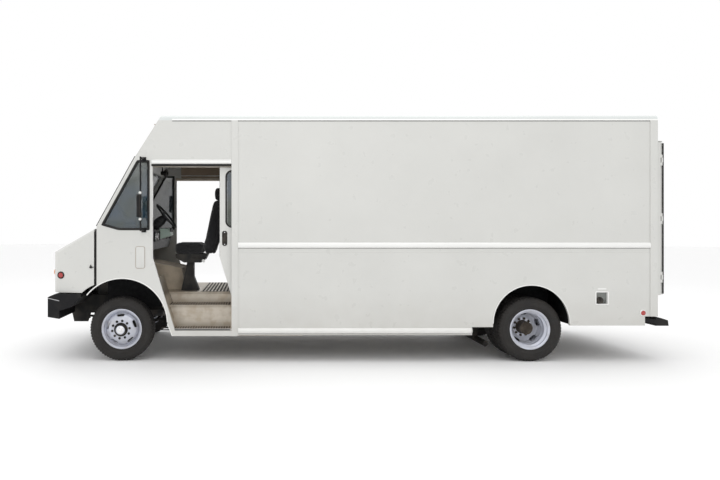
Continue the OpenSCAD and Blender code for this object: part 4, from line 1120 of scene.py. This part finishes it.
def bumper_details():
    """Grip bumps on the rear step, bright steel rods along the front bumper's end caps as painted highlights
    of their creases, and the front bumper's bolts.
    """
    lo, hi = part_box("rear_bumper")
    grip = Shape()
    top_z = hi.z
    columns, rows = 52, 3
    for i in range(columns):
        for j in range(rows):
            y = lo.y + 0.05 + (hi.y - lo.y - 0.10) * i / (columns - 1)
            x = hi.x - 0.160 + 0.018 * j
            z = top_z - 0.012 * (x - (hi.x - 0.169)) / 0.060
            turn = 1 if (i + j) % 2 else -1
            place = Vector((x, y, z))
            u = (AX["x"] + AX["y"] * turn).normalized() * 0.009
            v = (AX["y"] - AX["x"] * turn).normalized() * 0.004
            grip.loft([[place - u - v, place + u - v, place + u + v, place - u + v],
                       [place + AX["z"] * 0.002 + (p - place) * 0.6
                        for p in (place - u - v, place + u - v, place + u + v, place - u + v)]])
    grip.make("rear_step_grip", LOOKS["bumper_black"], "chassis", "bumper_black")
    lo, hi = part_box("front_bumper")
    for side, sign in SIDES:
        # Thin steel rod along the crease of each end cap: its bright metal is a painted highlight of the
        # crease.
        ridge = Shape()
        y = lo.y if sign < 0 else hi.y
        out = AX["y"] * sign
        points = [Vector((lo.x + 0.006, y, 0.836)), Vector((lo.x + 0.150, y, 0.802))]
        ridge.tube([p - out * 0.001 for p in points], 0.005, 8)
        ridge.make(f"bumper_painted_highlight_{side}", LOOKS["steel"], "chassis", "bright_metal")
    bolts = Shape()
    for y in (-0.95, -0.62, -0.30, 0.30, 0.62, 0.95):
        head = Vector((lo.x + 0.0105, y, 0.72))
        bolts.rod(head, head - AX["x"] * 0.009, 0.014, 6)
    bolts.make("front_bumper_bolts", LOOKS["steel"], "chassis", "bright_metal", bevel=0.001)


def body_rails():
    """Bright mouldings on the belt and low rails and the roof's drip edge, with a black strip under each as
    its painted shadow.
    """
    lo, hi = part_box("body_sides")
    arch_front = (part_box("rear_wheelhouses")[0].x + 0.008) - 0.290
    start = lo.x + 0.0845
    for side, sign in SIDES:
        out = AX["y"] * sign
        skin = HALF_W * sign
        # seam gathers the black strips under the rails and the drip edge: painted shadows, not seams in the
        # panels.
        bright, seam = Shape(), Shape()
        for z, end in ((BELT_RAIL_Z, hi.x - 0.0985), (LOW_RAIL_Z, arch_front)):
            axis = Vector((start, skin, z)) - out * 0.022
            profile = []
            for k in range(13):
                a = math.radians(-57 + 114 * k / 12)
                profile.append(axis + out * (0.0428 * math.cos(a)) + AX["z"] * (0.0428 * math.sin(a)))
            bright.prism(profile, AX["x"] * (end - start))
            # Black strip under the rail: painted shadow of the rail.
            low = Vector((start, skin, z - 0.0385))
            seam.prism([low - out * 0.001, low + out * 0.002, low + out * 0.002 - AX["z"] * 0.004,
                        low - out * 0.001 - AX["z"] * 0.004], AX["x"] * (end - start))
        roof_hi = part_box("roof")[1]
        edge_z = roof_hi.z - 0.067
        front = FRONT + 1.62
        face = Vector((front, skin, edge_z))
        bright.prism([face + out * p + AX["z"] * q for p,
                      q in ((-0.001, -0.004), (0.006, -0.004), (0.009, 0.0),
                                                                (0.006, 0.010), (-0.001, 0.020))],
                     AX["x"] * (hi.x - front))
        # Black strip under the drip edge: painted shadow of the edge.
        seam.prism([face + out * p + AX["z"] * q for p,
                    q in ((-0.001, -0.012), (0.002, -0.012), (0.002, -0.005),
                                                              (-0.001, -0.005))], AX["x"] * (hi.x - front))
        bright.make(f"body_mouldings_{side}", LOOKS["trim_white"], "chassis", "trim_white", sharp=30)
        seam.make(f"body_rail_painted_shadows_{side}", LOOKS["wheel_cap_black"], "chassis", "rubber_seal")


# ---------------------------------------------------------------- seat

def voxel_copy(piece, size):
    """A new object with the piece's form remeshed evenly."""
    mod = piece.modifiers.new("even", "REMESH")
    mod.mode = "VOXEL"
    mod.voxel_size = size
    return baked(piece)


def baked(piece):
    """Replaces the piece's mesh by its evaluated one and clears its modifiers."""
    depsgraph = bpy.context.evaluated_depsgraph_get()
    mesh = bpy.data.meshes.new_from_object(piece.evaluated_get(depsgraph), depsgraph=depsgraph)
    piece.modifiers.clear()
    piece.data = mesh
    return piece


def swell(piece, cap, frames=20, pressure=4.0):
    """Blows the closed form up as cloth, with each point's way capped, and bakes the result."""
    start = [v.co.copy() for v in piece.data.vertices]
    mod = piece.modifiers.new("cloth", "CLOTH")
    mod.settings.use_pressure = True
    mod.settings.uniform_pressure_force = pressure
    mod.settings.effector_weights.gravity = 0
    mod.settings.tension_stiffness = 15
    mod.settings.compression_stiffness = 15
    mod.settings.quality = 5
    mod.point_cache.frame_start = 1
    mod.point_cache.frame_end = frames
    for step in range(1, frames + 1):
        bpy.context.scene.frame_set(step)
    baked(piece)
    bpy.context.scene.frame_set(1)
    for v, was in zip(piece.data.vertices, start):
        way = v.co - was
        if way.length > cap:
            v.co = was + way.normalized() * cap
    return piece


def pad(name, sections, cap, seams, body="chassis"):
    """Stuffed pad through closed sections: remeshed, swollen, kept in its sections' box, then sewn."""
    shape = Shape()
    shape.loft(sections)
    piece = shape.make(name, LOOKS["seat_fabric"], body, "seat_fabric")
    voxel_copy(piece, 0.006)
    swell(piece, cap)
    seams(piece.data.vertices)
    mod = piece.modifiers.new("smooth", "SUBSURF")
    mod.levels = mod.render_levels = 1
    shade(piece, LOOKS["seat_fabric"], 80)
    return piece


def between(rows, level, column):
    """Value of a column at a level, from rows that go up."""
    for a, b in zip(rows, rows[1:]):
        if level <= b[0]:
            t = min(1, max(0, (level - a[0]) / (b[0] - a[0])))
            return a[column] + (b[column] - a[column]) * t
    return rows[-1][column]


def upright_sections(rows, mid_y, r):
    """Level sections of a pad from rows of height, front station, rear station and width in millimetres."""
    return [round_rect(at((front + rear) / 2, mid_y * 1000, z), AX["x"], AX["y"], (rear - front) / 1000,
                       wide / 1000, min(r, (rear - front) / 2400), 8) for z, front, rear, wide in rows]


def groove(distance, width, depth):
    """Depth of a sewn channel at a distance from its middle line."""
    return depth * math.exp(-(distance / width) ** 2)


def seat():
    """Seat: stuffed cushion with piping, backrest and head restraint, and a shell, lever and knob."""
    lo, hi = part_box("seat_cushion")
    mid = (lo + hi) / 2
    w, length, h = hi.y - lo.y, hi.x - lo.x, hi.z - lo.z
    sections = []
    for level, inset in ((0.03, 0.030), (0.08, 0.014), (0.22, 0.007), (0.55, 0.005), (0.76, 0.010),
                         (0.86, 0.026),
                         (0.905, 0.070), (0.925, 0.140)):
        centre = Vector((mid.x, mid.y, lo.z + h * level))
        sections.append(round_rect(centre, AX["x"], AX["y"], length - 2 * inset, w - 2 * inset,
                                   min(0.075, 0.20 - inset), 8))

    def cushion_seams(verts):
        """Sews the cushion's side bolsters and cross channels."""
        for v in verts:
            side = abs(v.co.y - mid.y)
            top = v.co.z > lo.z + 0.55 * h
            if top:
                v.co.z += 0.012 * min(1, max(0, (side - 0.13) / 0.05))
                v.co.z -= groove(side - 0.150, 0.006, 0.009)
                for x in (lo.x + 0.12, lo.x + 0.21, lo.x + 0.30):
                    v.co.z -= groove(v.co.x - x, 0.006, 0.007) if side < 0.150 else 0
            v.co.z = max(lo.z, min(v.co.z, hi.z + 0.004))
            v.co.x = max(lo.x, min(v.co.x, hi.x + 0.002))

    cushion = pad("seat_cushion_pad", sections, 0.014, cushion_seams)
    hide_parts("seat_cushion")
    piping("seat_cushion_piping", cushion, mid, lo.z + 0.79 * h)
    lo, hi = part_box("seat_backrest")
    mid_y = (lo.y + hi.y) / 2
    rows = ((1390, 2026, 2104, 350), (1396, 2006, 2118, 405), (1432, 1998, 2134, 430),
            (1540, 2000, 2154, 436),
            (1600, 2018, 2162, 434), (1800, 2060, 2192, 430), (1980, 2097, 2219, 420),
            (2080, 2117, 2232, 392),
            (2128, 2128, 2234, 350), (2146, 2146, 2222, 290))

    def back_seams(verts):
        """Sews the backrest's bolsters and cross channels, on its front only."""
        for v in verts:
            side = abs(v.co.y - mid_y)
            level = v.co.z * 1000
            front, rear = between(rows, level, 1), between(rows, level, 2)
            if (v.co.x - FRONT) * 1000 < (front + rear) / 2 - 25:
                shift = 0.010 * min(1, max(0, (side - 0.10) / 0.06)) - groove(side - 0.125, 0.006, 0.010)
                for seam in (1640, 1760, 1880, 2000):
                    shift -= groove((level - seam) / 1000, 0.006, 0.008) if side < 0.125 else 0
                v.co.x -= shift

    back = pad("seat_back_pad", upright_sections(rows, mid_y, 0.045), 0.010, back_seams)
    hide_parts("seat_backrest")
    rows_head = ((2150, 2146, 2206, 180), (2158, 2134, 2218, 214), (2200, 2130, 2220, 230),
                 (2276, 2128, 2218, 226),
                 (2308, 2138, 2206, 196), (2320, 2152, 2192, 160))
    pad("seat_head_pad", upright_sections(rows_head, mid_y, 0.030), 0.006, lambda verts: None)
    shell = Shape()
    outline = [(2106, 1392), (2119, 1388), (2174, 1540), (2262, 2110), (2250, 2116), (2162, 1545)]
    shell.prism([at(s, mid_y * 1000 - 190, z) for s, z in outline], AX["y"] * 0.38)
    shell.make("seat_back_shell", LOOKS["seat_vinyl"], "chassis", "cab_plastic", bevel=0.004)
    lever = Shape()
    start = at(1940, mid_y * 1000 - 216, 1325)
    lever.tube([start, start + Vector((0.0, -0.022, 0.0)), start + Vector((-0.05, -0.030, 0.002)),
                start + Vector((-0.11, -0.030, 0.004))], 0.006, 10)
    lever.make("seat_lever", LOOKS["seat_frame"], "chassis", "seat_frame")
    knob = Shape()
    place = at(1975, mid_y * 1000 - 216, 1290)
    knob.lathe([(0.0, 0.0), (0.012, 0.0), (0.012, 0.012), (0.021, 0.016), (0.022, 0.030), (0.018, 0.034),
                (0.0, 0.035)], place, -AX["y"], 30)
    knob.make("seat_knob", LOOKS["knob_white"], "chassis", "trim_white")


def piping(name, piece, centre, height):
    """Welt sewn round a pad at one height, laid on the pad's own surface."""
    tree = surface_tree(piece.data)
    path = []
    for k in range(120):
        a = 2 * math.pi * k / 120
        ray = Vector((math.cos(a), math.sin(a), 0))
        start = Vector((centre.x, centre.y, height)) + ray
        place, _, _, _ = tree.ray_cast(start, -ray)
        if place:
            path.append(place - ray * 0.001)
    shape = Shape()
    shape.tube(path, 0.0045, 8, closed=True)
    shape.make(name, LOOKS["seat_vinyl"], "chassis", "seat_fabric")


# ---------------------------------------------------------------- cab fittings

def dial(shape_ring, shape_face, shape_hand, place, axis, r, angle):
    """One round gauge: ring, face, pointer and ticks."""
    shape_ring.lathe([(r, -0.002), (r * 1.02, 0.008), (r * 1.12, 0.010), (r * 1.2, 0.004), (r * 1.2, -0.002),
                      (r, -0.002)], place, axis, 36)
    shape_face.lathe([(0.0, 0.002), (r, 0.002), (r, -0.001), (0.0, -0.001)], place, axis, 36)
    u, v = cross_axes(axis)
    ray = u * math.cos(angle) + v * math.sin(angle)
    shape_hand.rod(place + axis * 0.004 - ray * r * 0.15, place + axis * 0.004 + ray * r * 0.75, r * 0.05, 6,
                   r * 0.02)
    for k in range(9):
        a = math.radians(-30 + k * 30)
        tick = u * math.cos(a) + v * math.sin(a)
        shape_hand.rod(place + axis * 0.003 + tick * r * 0.78, place + axis * 0.003 + tick * r * 0.92,
                       r * 0.03, 4)


def dash_fittings():
    """Dials in the driver's panel, switch panel, air outlets, stalk, pedals and fan."""
    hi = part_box("dashboard")[1]
    rear = hi.x
    driver_y = (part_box("seat_cushion")[0].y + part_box("seat_cushion")[1].y) / 2
    panel = Shape()
    centre = Vector((rear, driver_y, DASH_Z))
    panel.frame(round_rect(centre, AX["y"], AX["z"], 0.44, 0.150, 0.03), AX["x"], 0.020, 0.016, 0.002)
    panel.prism(round_rect(centre, AX["y"], AX["z"], 0.41, 0.125, 0.02), AX["x"] * 0.004)
    panel.make("gauge_surround", LOOKS["cab_plastic"], "chassis", "cab_plastic", bevel=0.002)
    ring, face, hand = Shape(), Shape(), Shape()
    for dy, dz, r, turn in ((-0.085, 0.0, 0.048, 2.3), (0.045, 0.0, 0.048, 2.6), (-0.165, 0.03, 0.021, 1.0),
                            (-0.165, -0.03, 0.021, 1.4), (0.125, 0.03, 0.021, 1.2),
                            (0.125, -0.03, 0.021, 0.8)):
        dial(ring, face, hand, centre + Vector((0.0045, dy, dz)), AX["x"], r, turn)
    ring.make("gauge_rings", LOOKS["bright_metal"], "chassis", "bright_metal")
    face.make("gauge_faces", LOOKS["cab_plastic"], "chassis", "cab_plastic")
    hand.make("gauge_hands", LOOKS["knob_white"], "chassis", "trim_white")
    switches = Shape()
    outline = [(1281, 1600), (1300, 1590), (1430, 1632), (1446, 1650), (1430, 1742), (1281, 1745)]
    switches.prism([at(s, -150, z) for s, z in outline], AX["y"] * 0.30)
    switches.make("switch_panel", LOOKS["panel_green"], "chassis", "cab_plastic", bevel=0.008)
    keys = Shape()
    for i in range(5):
        for j in range(2):
            keys.box(at(1436 - j * 52, -128 + i * 54, 1690 + j * 2),
                     at(1448 - j * 52, -96 + i * 54, 1746 + j * 2))
    keys.make("switch_keys", LOOKS["cab_plastic"], "chassis", "cab_plastic", bevel=0.002)
    vents = Shape()
    for y in (0.25, 0.60, 0.90):
        place = Vector((rear, y, DASH_Z))
        vents.frame(round_rect(place, AX["y"], AX["z"], 0.16, 0.10, 0.015), AX["x"], 0.010, 0.012, 0.002)
        for k in range(5):
            z = DASH_Z - 0.032 + k * 0.016
            vents.prism([(rear, y - 0.07, z), (rear + 0.010, y - 0.07, z + 0.006),
                         (rear + 0.010, y - 0.07, z + 0.009), (rear, y - 0.07, z + 0.004)], AX["y"] * 0.14)
    vents.make("air_outlets", LOOKS["cab_plastic"], "chassis", "cab_plastic")
    pedals = Shape()
    for y, wide in ((-560, 34), (-430, 26)):
        pedals.tube([at(830, y, 1438), at(860, y, 1230), at(1010, y, 1065)], 0.010, 10)
        pedals.prism([at(992, y - wide, 1092), at(1000, y - wide, 1098), at(1052, y - wide, 1022),
                      at(1044, y - wide, 1016)], AX["y"] * (wide * 2 / 1000))
        for k in range(5):
            start = at(1006 + k * 9, y - wide + 5, 1090 - k * 13)
            pedals.rod(start, start + AX["y"] * ((wide * 2 - 10) / 1000), 0.003, 8)
    pedals.make("pedals", LOOKS["wheel_cap_black"], "chassis", "cab_plastic", bevel=0.001)
    stalk = Shape()
    root = at(1336, driver_y * 1000, 1846)
    stalk.tube([root - AX["y"] * 0.03, root + Vector((0.004, -0.09, 0.006)),
                root + Vector((0.010, -0.165, 0.014))],
               0.006, 10)
    stalk.rod(root + Vector((0.009, -0.150, 0.012)), root + Vector((0.011, -0.185, 0.017)), 0.010, 14)
    stalk.rod(root - Vector((0.040, 0, 0.034)), root + Vector((0.018, 0, 0.015)), 0.042, 28)
    stalk.make("turn_stalk", LOOKS["cab_plastic"], "chassis", "cab_plastic", sharp=40)
    shroud = Shape()
    start, end = at(1236, -380, 1764), at(1392, -380, 1894)
    u, v = cross_axes(end - start)
    shroud.loft([circle(start + (end - start) * t, u, v, r, 28)
                 for t, r in ((0, 0.050), (0.04, 0.062), (0.35, 0.072), (0.75, 0.066), (0.95, 0.056),
                              (1.0, 0.046))])
    shroud.make("column_shroud", LOOKS["cab_plastic"], "chassis", "cab_plastic", sharp=60)
    fan = Shape()
    middle = at(1430, -470, 2530)
    for k in range(7):
        r = 0.014 + 0.010 * k
        bulge = AX["x"] * 0.03 * math.cos(k / 6 * math.pi / 2)
        fan.tube(circle(middle + bulge, AX["y"], AX["z"], r, 28), 0.0022, 6, closed=True)
        fan.tube(circle(middle - bulge, AX["y"], AX["z"], r, 28), 0.0022, 6, closed=True)
    for k in range(5):
        a = 2 * math.pi * k / 5
        ray = AX["y"] * math.cos(a) + AX["z"] * math.sin(a)
        side = AX["x"].cross(ray) * 0.022
        fan.prism([middle + ray * 0.010 - side * 0.4, middle + ray * 0.062 - side,
                   middle + ray * 0.064 + side,
                   middle + ray * 0.010 + side * 0.4], AX["x"] * 0.003)
    fan.rod(middle - AX["x"] * 0.075, middle + AX["x"] * 0.004, 0.026, 24)
    fan.tube([middle - AX["x"] * 0.05, middle + Vector((-0.05, 0, 0.08)), middle + Vector((-0.18, 0, 0.16))],
             0.009, 10)
    fan.box(middle + Vector((-0.25, -0.13, 0.10)), middle + Vector((-0.02, 0.13, 0.18)))
    fan.make("cab_fan_and_visor", LOOKS["wheel_cap_black"], "chassis", "cab_plastic", bevel=0.003)


def cab_linings():
    """Brown linings over the doorways and under the roof, with light strips, and ribbed floor and treads."""
    lo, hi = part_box("step_wells")
    start, end = lo.x + 0.02, hi.x - 0.01
    roof_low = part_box("roof")[1].z - 0.10
    for side, sign in SIDES:
        lining = Shape()
        face = 1.094 * sign
        rail_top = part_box(f"sliding_door_{side}")[1].z + 0.052
        columns = 1
        for k in range(columns):
            a = start + (end - start) * k / columns + 0.003
            b = start + (end - start) * (k + 1) / columns - 0.003
            centre = Vector(((a + b) / 2, face, (rail_top + roof_low - 0.03) / 2))
            outline = round_rect(centre, AX["x"], AX["z"], b - a, roof_low - 0.03 - rail_top, 0.02, 4)
            out = -AX["y"] * sign
            lining.loft([[p - out * 0.006 for p in outline], outline,
                         [p + out * 0.006 for p in grow(outline, out, -0.010)]])
        lining.make(f"doorway_lining_{side}", LOOKS["ceiling_brown"], "chassis", "cab_plastic", sharp=50)
        strip = Shape()
        z = rail_top + 0.038
        strip.rod(Vector((start, face - 0.010 * sign, z)), Vector((end, face - 0.010 * sign, z)), 0.0075, 12)
        strip.make(f"doorway_strip_{side}", LOOKS["trim_white"], "chassis", "trim_white")
        mats = Shape()
        for near, far, z in ((RISER_Y, 1.098, LOWER_TREAD_Z), (0.692, RISER_Y, UPPER_TREAD_Z)):
            mats.prism([Vector((start + 0.012, y * sign, z)) for y in (near, far)]
                       + [Vector((end - 0.02, y * sign, z)) for y in (far, near)], AX["z"] * 0.0012)
        mats.make(f"tread_grit_{side}", LOOKS["tread_grit"], "chassis", "deck_aluminium")
        ribs = Shape()
        for near, far, z, front in ((0.966, 1.092, LOWER_TREAD_Z, 1.66), (0.700, 0.950, UPPER_TREAD_Z, 1.58)):
            x = FRONT + front
            while x < end - 0.03:
                ribs.prism([Vector((x - 0.008, near * sign, z)), Vector((x + 0.008, near * sign, z)),
                            Vector((x + 0.006, near * sign, z + 0.004)),
                            Vector((x - 0.006, near * sign, z + 0.004))],
                           AX["y"] * (far - near) * sign)
                x += 0.034
        for y, low, high in ((0.968, 0.690, 0.722), (0.690, 0.836, 0.868)):
            for k in range(4):
                z = low + 0.004 + (high - low - 0.008) * k / 3
                ribs.rod(Vector((start + 0.01, y * sign, z)), Vector((end - 0.01, y * sign, z)), 0.0032, 8)
        sill = Shape()
        sill.rod(Vector((start + 0.01, SILL_SEAL_Y * sign, SILL_SEAL_Z)),
                 Vector((end - 0.01, SILL_SEAL_Y * sign, SILL_SEAL_Z)), 0.007, 10)
        sill.make(f"sill_seal_{side}", LOOKS["rubber_seal"], "chassis", "rubber_seal")
        ribs.make(f"tread_ribs_{side}", LOOKS["deck_aluminium"], "chassis", "deck_aluminium", sharp=50)
    grit = Shape()
    grit.prism([at(s, y, FLOOR_Z * 1000) for s, y in ((1940, -670), (2384, -670), (2384, 670), (1940, 670))],
               AX["z"] * 0.0012)
    grit.make("floor_grit", LOOKS["tread_grit"], "chassis", "deck_aluminium")
    deck = Shape()
    x = FRONT + 1.95
    while x < FRONT + 2.38:
        deck.prism([Vector((x - 0.012, -0.66, FLOOR_Z)), Vector((x + 0.012, -0.66, FLOOR_Z)),
                    Vector((x + 0.009, -0.66, FLOOR_Z + 0.005)), Vector((x - 0.009, -0.66, FLOOR_Z + 0.005))],
                   AX["y"] * 1.32)
        x += 0.048
    deck.make("floor_ribs", LOOKS["deck_aluminium"], "chassis", "deck_aluminium")
    ceiling = Shape()
    for k in range(5):
        a = FRONT + 1.36 + k * 0.20
        outline = round_rect(Vector((a + 0.1, 0, roof_low)), AX["x"], AX["y"], 0.195, 2.16, 0.02, 4)
        ceiling.loft([[p + AX["z"] * 0.004 for p in outline], outline,
                      [p - AX["z"] * 0.006 for p in grow(outline, -AX["z"], -0.010)]])
    ceiling.make("cab_ceiling", LOOKS["ceiling_brown"], "chassis", "cab_plastic", sharp=50)


def cover_fittings():
    """Quilt welts along the engine cover."""
    lo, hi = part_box("engine_cover")
    cover = skin_finder("engine_cover")
    straps = Shape()
    for y in (-0.20, 0.0, 0.20):
        path = []
        x = lo.x + 0.06
        while x < hi.x - 0.01:
            place, _ = cover(Vector((x, y, hi.z + 0.5)), -AX["z"])
            if place:
                path.append(place + AX["z"] * 0.001)
            x += 0.03
        straps.tube(path, 0.006, 8)
    straps.make("engine_cover_welts", LOOKS["engine_cover_tan"], "chassis", "engine_cover_tan")


def mirror_faces():
    """Mirror glass in the head on each side, clamps and white clamp knobs on the rods."""
    rod_x = FRONT + 1.253
    for side, sign, turn, low in (("left", -1, 7, 1.884), ("right", 1, 0, 2.020)):
        a = math.radians(turn)
        along_x = Vector((math.cos(a), math.sin(a), 0))
        along_y = Vector((-math.sin(a), math.cos(a), 0)) * (1 if sign < 0 else -1)
        rod = Vector((rod_x, 1.430 * sign, 0))
        glass = Shape()
        upper = rod + along_x * -0.008 + along_y * 0.005 + AX["z"] * (low + 0.187)
        glass.prism(round_rect(upper, along_y, AX["z"], 0.166, 0.160, 0.015), along_x * 0.002)
        lower = rod + along_x * -0.008 + along_y * 0.005 + AX["z"] * (low + 0.056)
        outline = round_rect(lower, along_y, AX["z"], 0.164, 0.082, 0.012)
        glass.loft([outline, [p + along_x * 0.002 for p in grow(outline, along_x, -0.003)],
                    [p + along_x * 0.0035 for p in grow(outline, along_x, -0.016)],
                    [p + along_x * 0.004 for p in grow(outline, along_x, -0.030)]])
        glass.make(f"mirror_glass_{side}", LOOKS["mirror_face"], "chassis", "mirror_face", sharp=60)
        rim = Shape()
        middle = rod + along_x * -0.004 + along_y * 0.005 + AX["z"] * (low + 0.145)
        rim.frame(round_rect(middle, along_y, AX["z"], 0.190, 0.290, 0.03), along_x, 0.012, 0.004, 0.003)
        for z in (low - 0.022, low + 0.04, low + 0.25, low + 0.308):
            rim.rod(rod + AX["z"] * (z - 0.018), rod + AX["z"] * (z + 0.018), 0.0165, 20)
            rim.box(rod + along_x * -0.012 + AX["z"] * (z - 0.010) - along_y * 0.012,
                    rod + along_x * 0.018 + AX["z"] * (z + 0.010) + along_y * 0.012)
        rim.make(f"mirror_rims_{side}", LOOKS["wheel_cap_black"], "chassis", "wheel_cap_black", bevel=0.001)
        knobs = Shape()
        out = AX["y"] * sign
        for z in (low - 0.022, low + 0.308):
            place = rod + AX["z"] * z + out * 0.014
            knobs.lathe([(0.0, 0.0), (0.010, 0.0), (0.010, 0.004), (0.017, 0.006), (0.018, 0.016),
                         (0.014, 0.020),
                         (0.0, 0.021)], place, out, 24)
        knobs.make(f"mirror_knobs_{side}", LOOKS["knob_white"], "chassis", "trim_white")


# ---------------------------------------------------------------- front

def front_face():
    """Grille bars and surround, lamp bezels and reflectors, turn lamps, nose latches and wipers."""
    lo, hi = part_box("grille")
    centre = (lo + hi) / 2
    face = Vector((lo.x, 0, centre.z))
    w, h = hi.y - lo.y, hi.z - lo.z
    shape = Shape()
    shape.frame(round_rect(face, AX["y"], AX["z"], w + 0.02, h + 0.02, 0.04), -AX["x"], 0.030, 0.008, 0.006)
    for k in range(1, 8):
        z = lo.z + h * k / 8
        shape.prism([Vector((lo.x + 0.004, -w / 2 + 0.02, z - 0.010)),
                     Vector((lo.x - 0.006, -w / 2 + 0.02, z - 0.004)),
                     Vector((lo.x - 0.006, -w / 2 + 0.02, z + 0.003)),
                     Vector((lo.x + 0.004, -w / 2 + 0.02, z + 0.008))],
                    AX["y"] * (w - 0.04))
    shape.make("grille_bars", LOOKS["wheel_cap_black"], "nose", "bumper_black", bevel=0.001)
    lamp_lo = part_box("headlamps")[0]
    bezel, reflector = Shape(), Shape()
    for sign in (-1, 1):
        for y, r in ((0.620, 0.095), (0.845, 0.060)):
            place = Vector((lamp_lo.x, y * sign, HEADLAMP_Z))
            bezel.lathe([(r * 0.97, -0.010), (r * 0.97, 0.004), (r * 1.03, 0.008), (r * 1.12, 0.007),
                         (r * 1.22, -0.004),
                         (r * 1.24, -0.013), (r * 0.97, -0.013)], place, -AX["x"], 56)
            for k in range(9):
                z = -r * 0.7 + r * 1.4 * k / 8
                reach = math.sqrt(max(0.0, (r * 0.93) ** 2 - z * z))
                reflector.rod(place + Vector((-0.001, -reach, z)), place + Vector((-0.001, reach, z)),
                              r * 0.03, 6)
    bezel.make("headlamp_bezels", LOOKS["bright_metal"], "nose", "bright_metal", sharp=50)
    reflector.make("headlamp_flutes", LOOKS["lamp_clear"], "nose", "lamp_clear")
    nose = skin_finder("hood")
    turn = Shape()
    for sign in (-1, 1):
        place, normal = nose(Vector((FRONT - 0.5, 0.985 * sign, HEADLAMP_Z)), AX["x"])
        if place:
            u, v = cross_axes(normal)
            turn.loft(dome_strip(place, normal, u, v, 0.10, 0.075, 0.016))
    turn.make("turn_lamps", LOOKS["lamp_amber"], "nose", "lamp_amber", sharp=50)
    latch = Shape()
    for sign in (-1, 1):
        place, normal = nose(at(560, 2000 * sign, 1240), -AX["y"] * sign)
        latch.tube([place + normal * 0.004 + AX["z"] * 0.03, place + normal * 0.010,
                    place + normal * 0.010 + Vector((0.030, 0, 0)),
                    place + normal * 0.006 + Vector((0.036, 0, 0.0))],
                   0.006, 8)
        latch.lathe([(0.0, 0.014), (0.016, 0.012), (0.018, 0.0), (0.0, 0.0)], place, normal, 20)
    latch.make("nose_latches", LOOKS["rubber_seal"], "nose", "rubber_seal")
    lean = shield_normal()
    slope = Vector((lean.z, 0, -lean.x))
    slope = slope if slope.z > 0 else -slope
    glass = skin_finder("cab_glass")
    wipers = Shape()
    for y, reach in ((-0.92, 0.62), (0.18, 0.62)):
        foot, _ = glass(Vector((FRONT - 1, y, 1.86)), AX["x"])
        if foot is None:
            continue
        pivot = foot + lean * 0.030 - slope * 0.05
        wipers.rod(pivot - lean * 0.03, pivot + lean * 0.006, 0.016, 18)
        direction = (slope * 0.35 + AX["y"] * 0.94).normalized()
        tip = pivot + direction * reach * 0.75
        wipers.tube([pivot, pivot + direction * 0.1 + lean * 0.006, tip + lean * 0.004], 0.006, 8)
        blade = direction * 0.22
        wipers.tube([tip - blade + lean * 0.0, tip + blade + lean * 0.0], 0.007, 8)
        wipers.tube([tip - blade - lean * 0.012, tip + blade - lean * 0.012], 0.004, 8)
    wipers.make("wipers", LOOKS["wheel_cap_black"], "chassis", "wheel_cap_black")




PIECES = [tyres, front_hubs, rear_hubs, brake_details, brake_drums, body_rails,
          window_gaskets, cab_trim, arch_lips, side_fittings,
          sliding_door_fittings, roof_and_rear_lamps, rear_door_fittings, bumper_details, seat, dash_fittings,
          cab_linings, cover_fittings, mirror_faces, front_face]


# ---------------------------------------------------------------- camera, floor and light

def camera():
    """Level camera on the driver's side, 1.75 m above the ground and well off the flank."""
    data = bpy.data.cameras.new("camera")
    data.sensor_width = 36
    data.lens = 29.23
    data.shift_x = 0.1458
    data.shift_y = -0.0167
    cam = bpy.data.objects.new("camera", data)
    cam.location = at(2697, -8795, 1750)
    cam.rotation_euler = (math.radians(90), 0, 0)
    bpy.context.scene.collection.objects.link(cam)
    bpy.context.scene.camera = cam


def studio():
    """Pale floor, an even white sky and broad soft lamps over and beside the van."""
    mesh = bpy.data.meshes.new("floor")
    ring = circle(Vector((0, 0, 0)), AX["x"], AX["y"], 60, 64)
    mesh.from_pydata([tuple(p) for p in ring], [], [tuple(range(64))])
    floor = bpy.data.objects.new("floor", mesh)
    bpy.context.scene.collection.objects.link(floor)
    mesh.materials.append(LOOKS["ground"])
    world = bpy.data.worlds.new("sky")
    world.use_nodes = True
    sky = world.node_tree.nodes["Background"]
    sky.inputs["Color"].default_value = (1, 1, 1, 1)
    sky.inputs["Strength"].default_value = 1.0
    bpy.context.scene.world = world
    bpy.context.scene.view_settings.view_transform = "Standard"
    for name, place, size, power in (("top", (0, -1.5, 9), 10, 240), ("driver_side", (-1, -11, 6), 8, 60),
                                     ("front", (-11, -4, 4), 6, 40), ("far_side", (2, 10, 6), 8, 90)):
        data = bpy.data.lights.new(name, "AREA")
        data.energy = power
        data.size = size
        lamp = bpy.data.objects.new(name, data)
        lamp.location = place
        lamp.rotation_euler = (Vector((0, 0, 1)) - Vector(place)).to_track_quat("-Z", "Y").to_euler()
        bpy.context.scene.collection.objects.link(lamp)


camera()
studio()
dress_cad_nodes()
for build in PIECES:
    build()
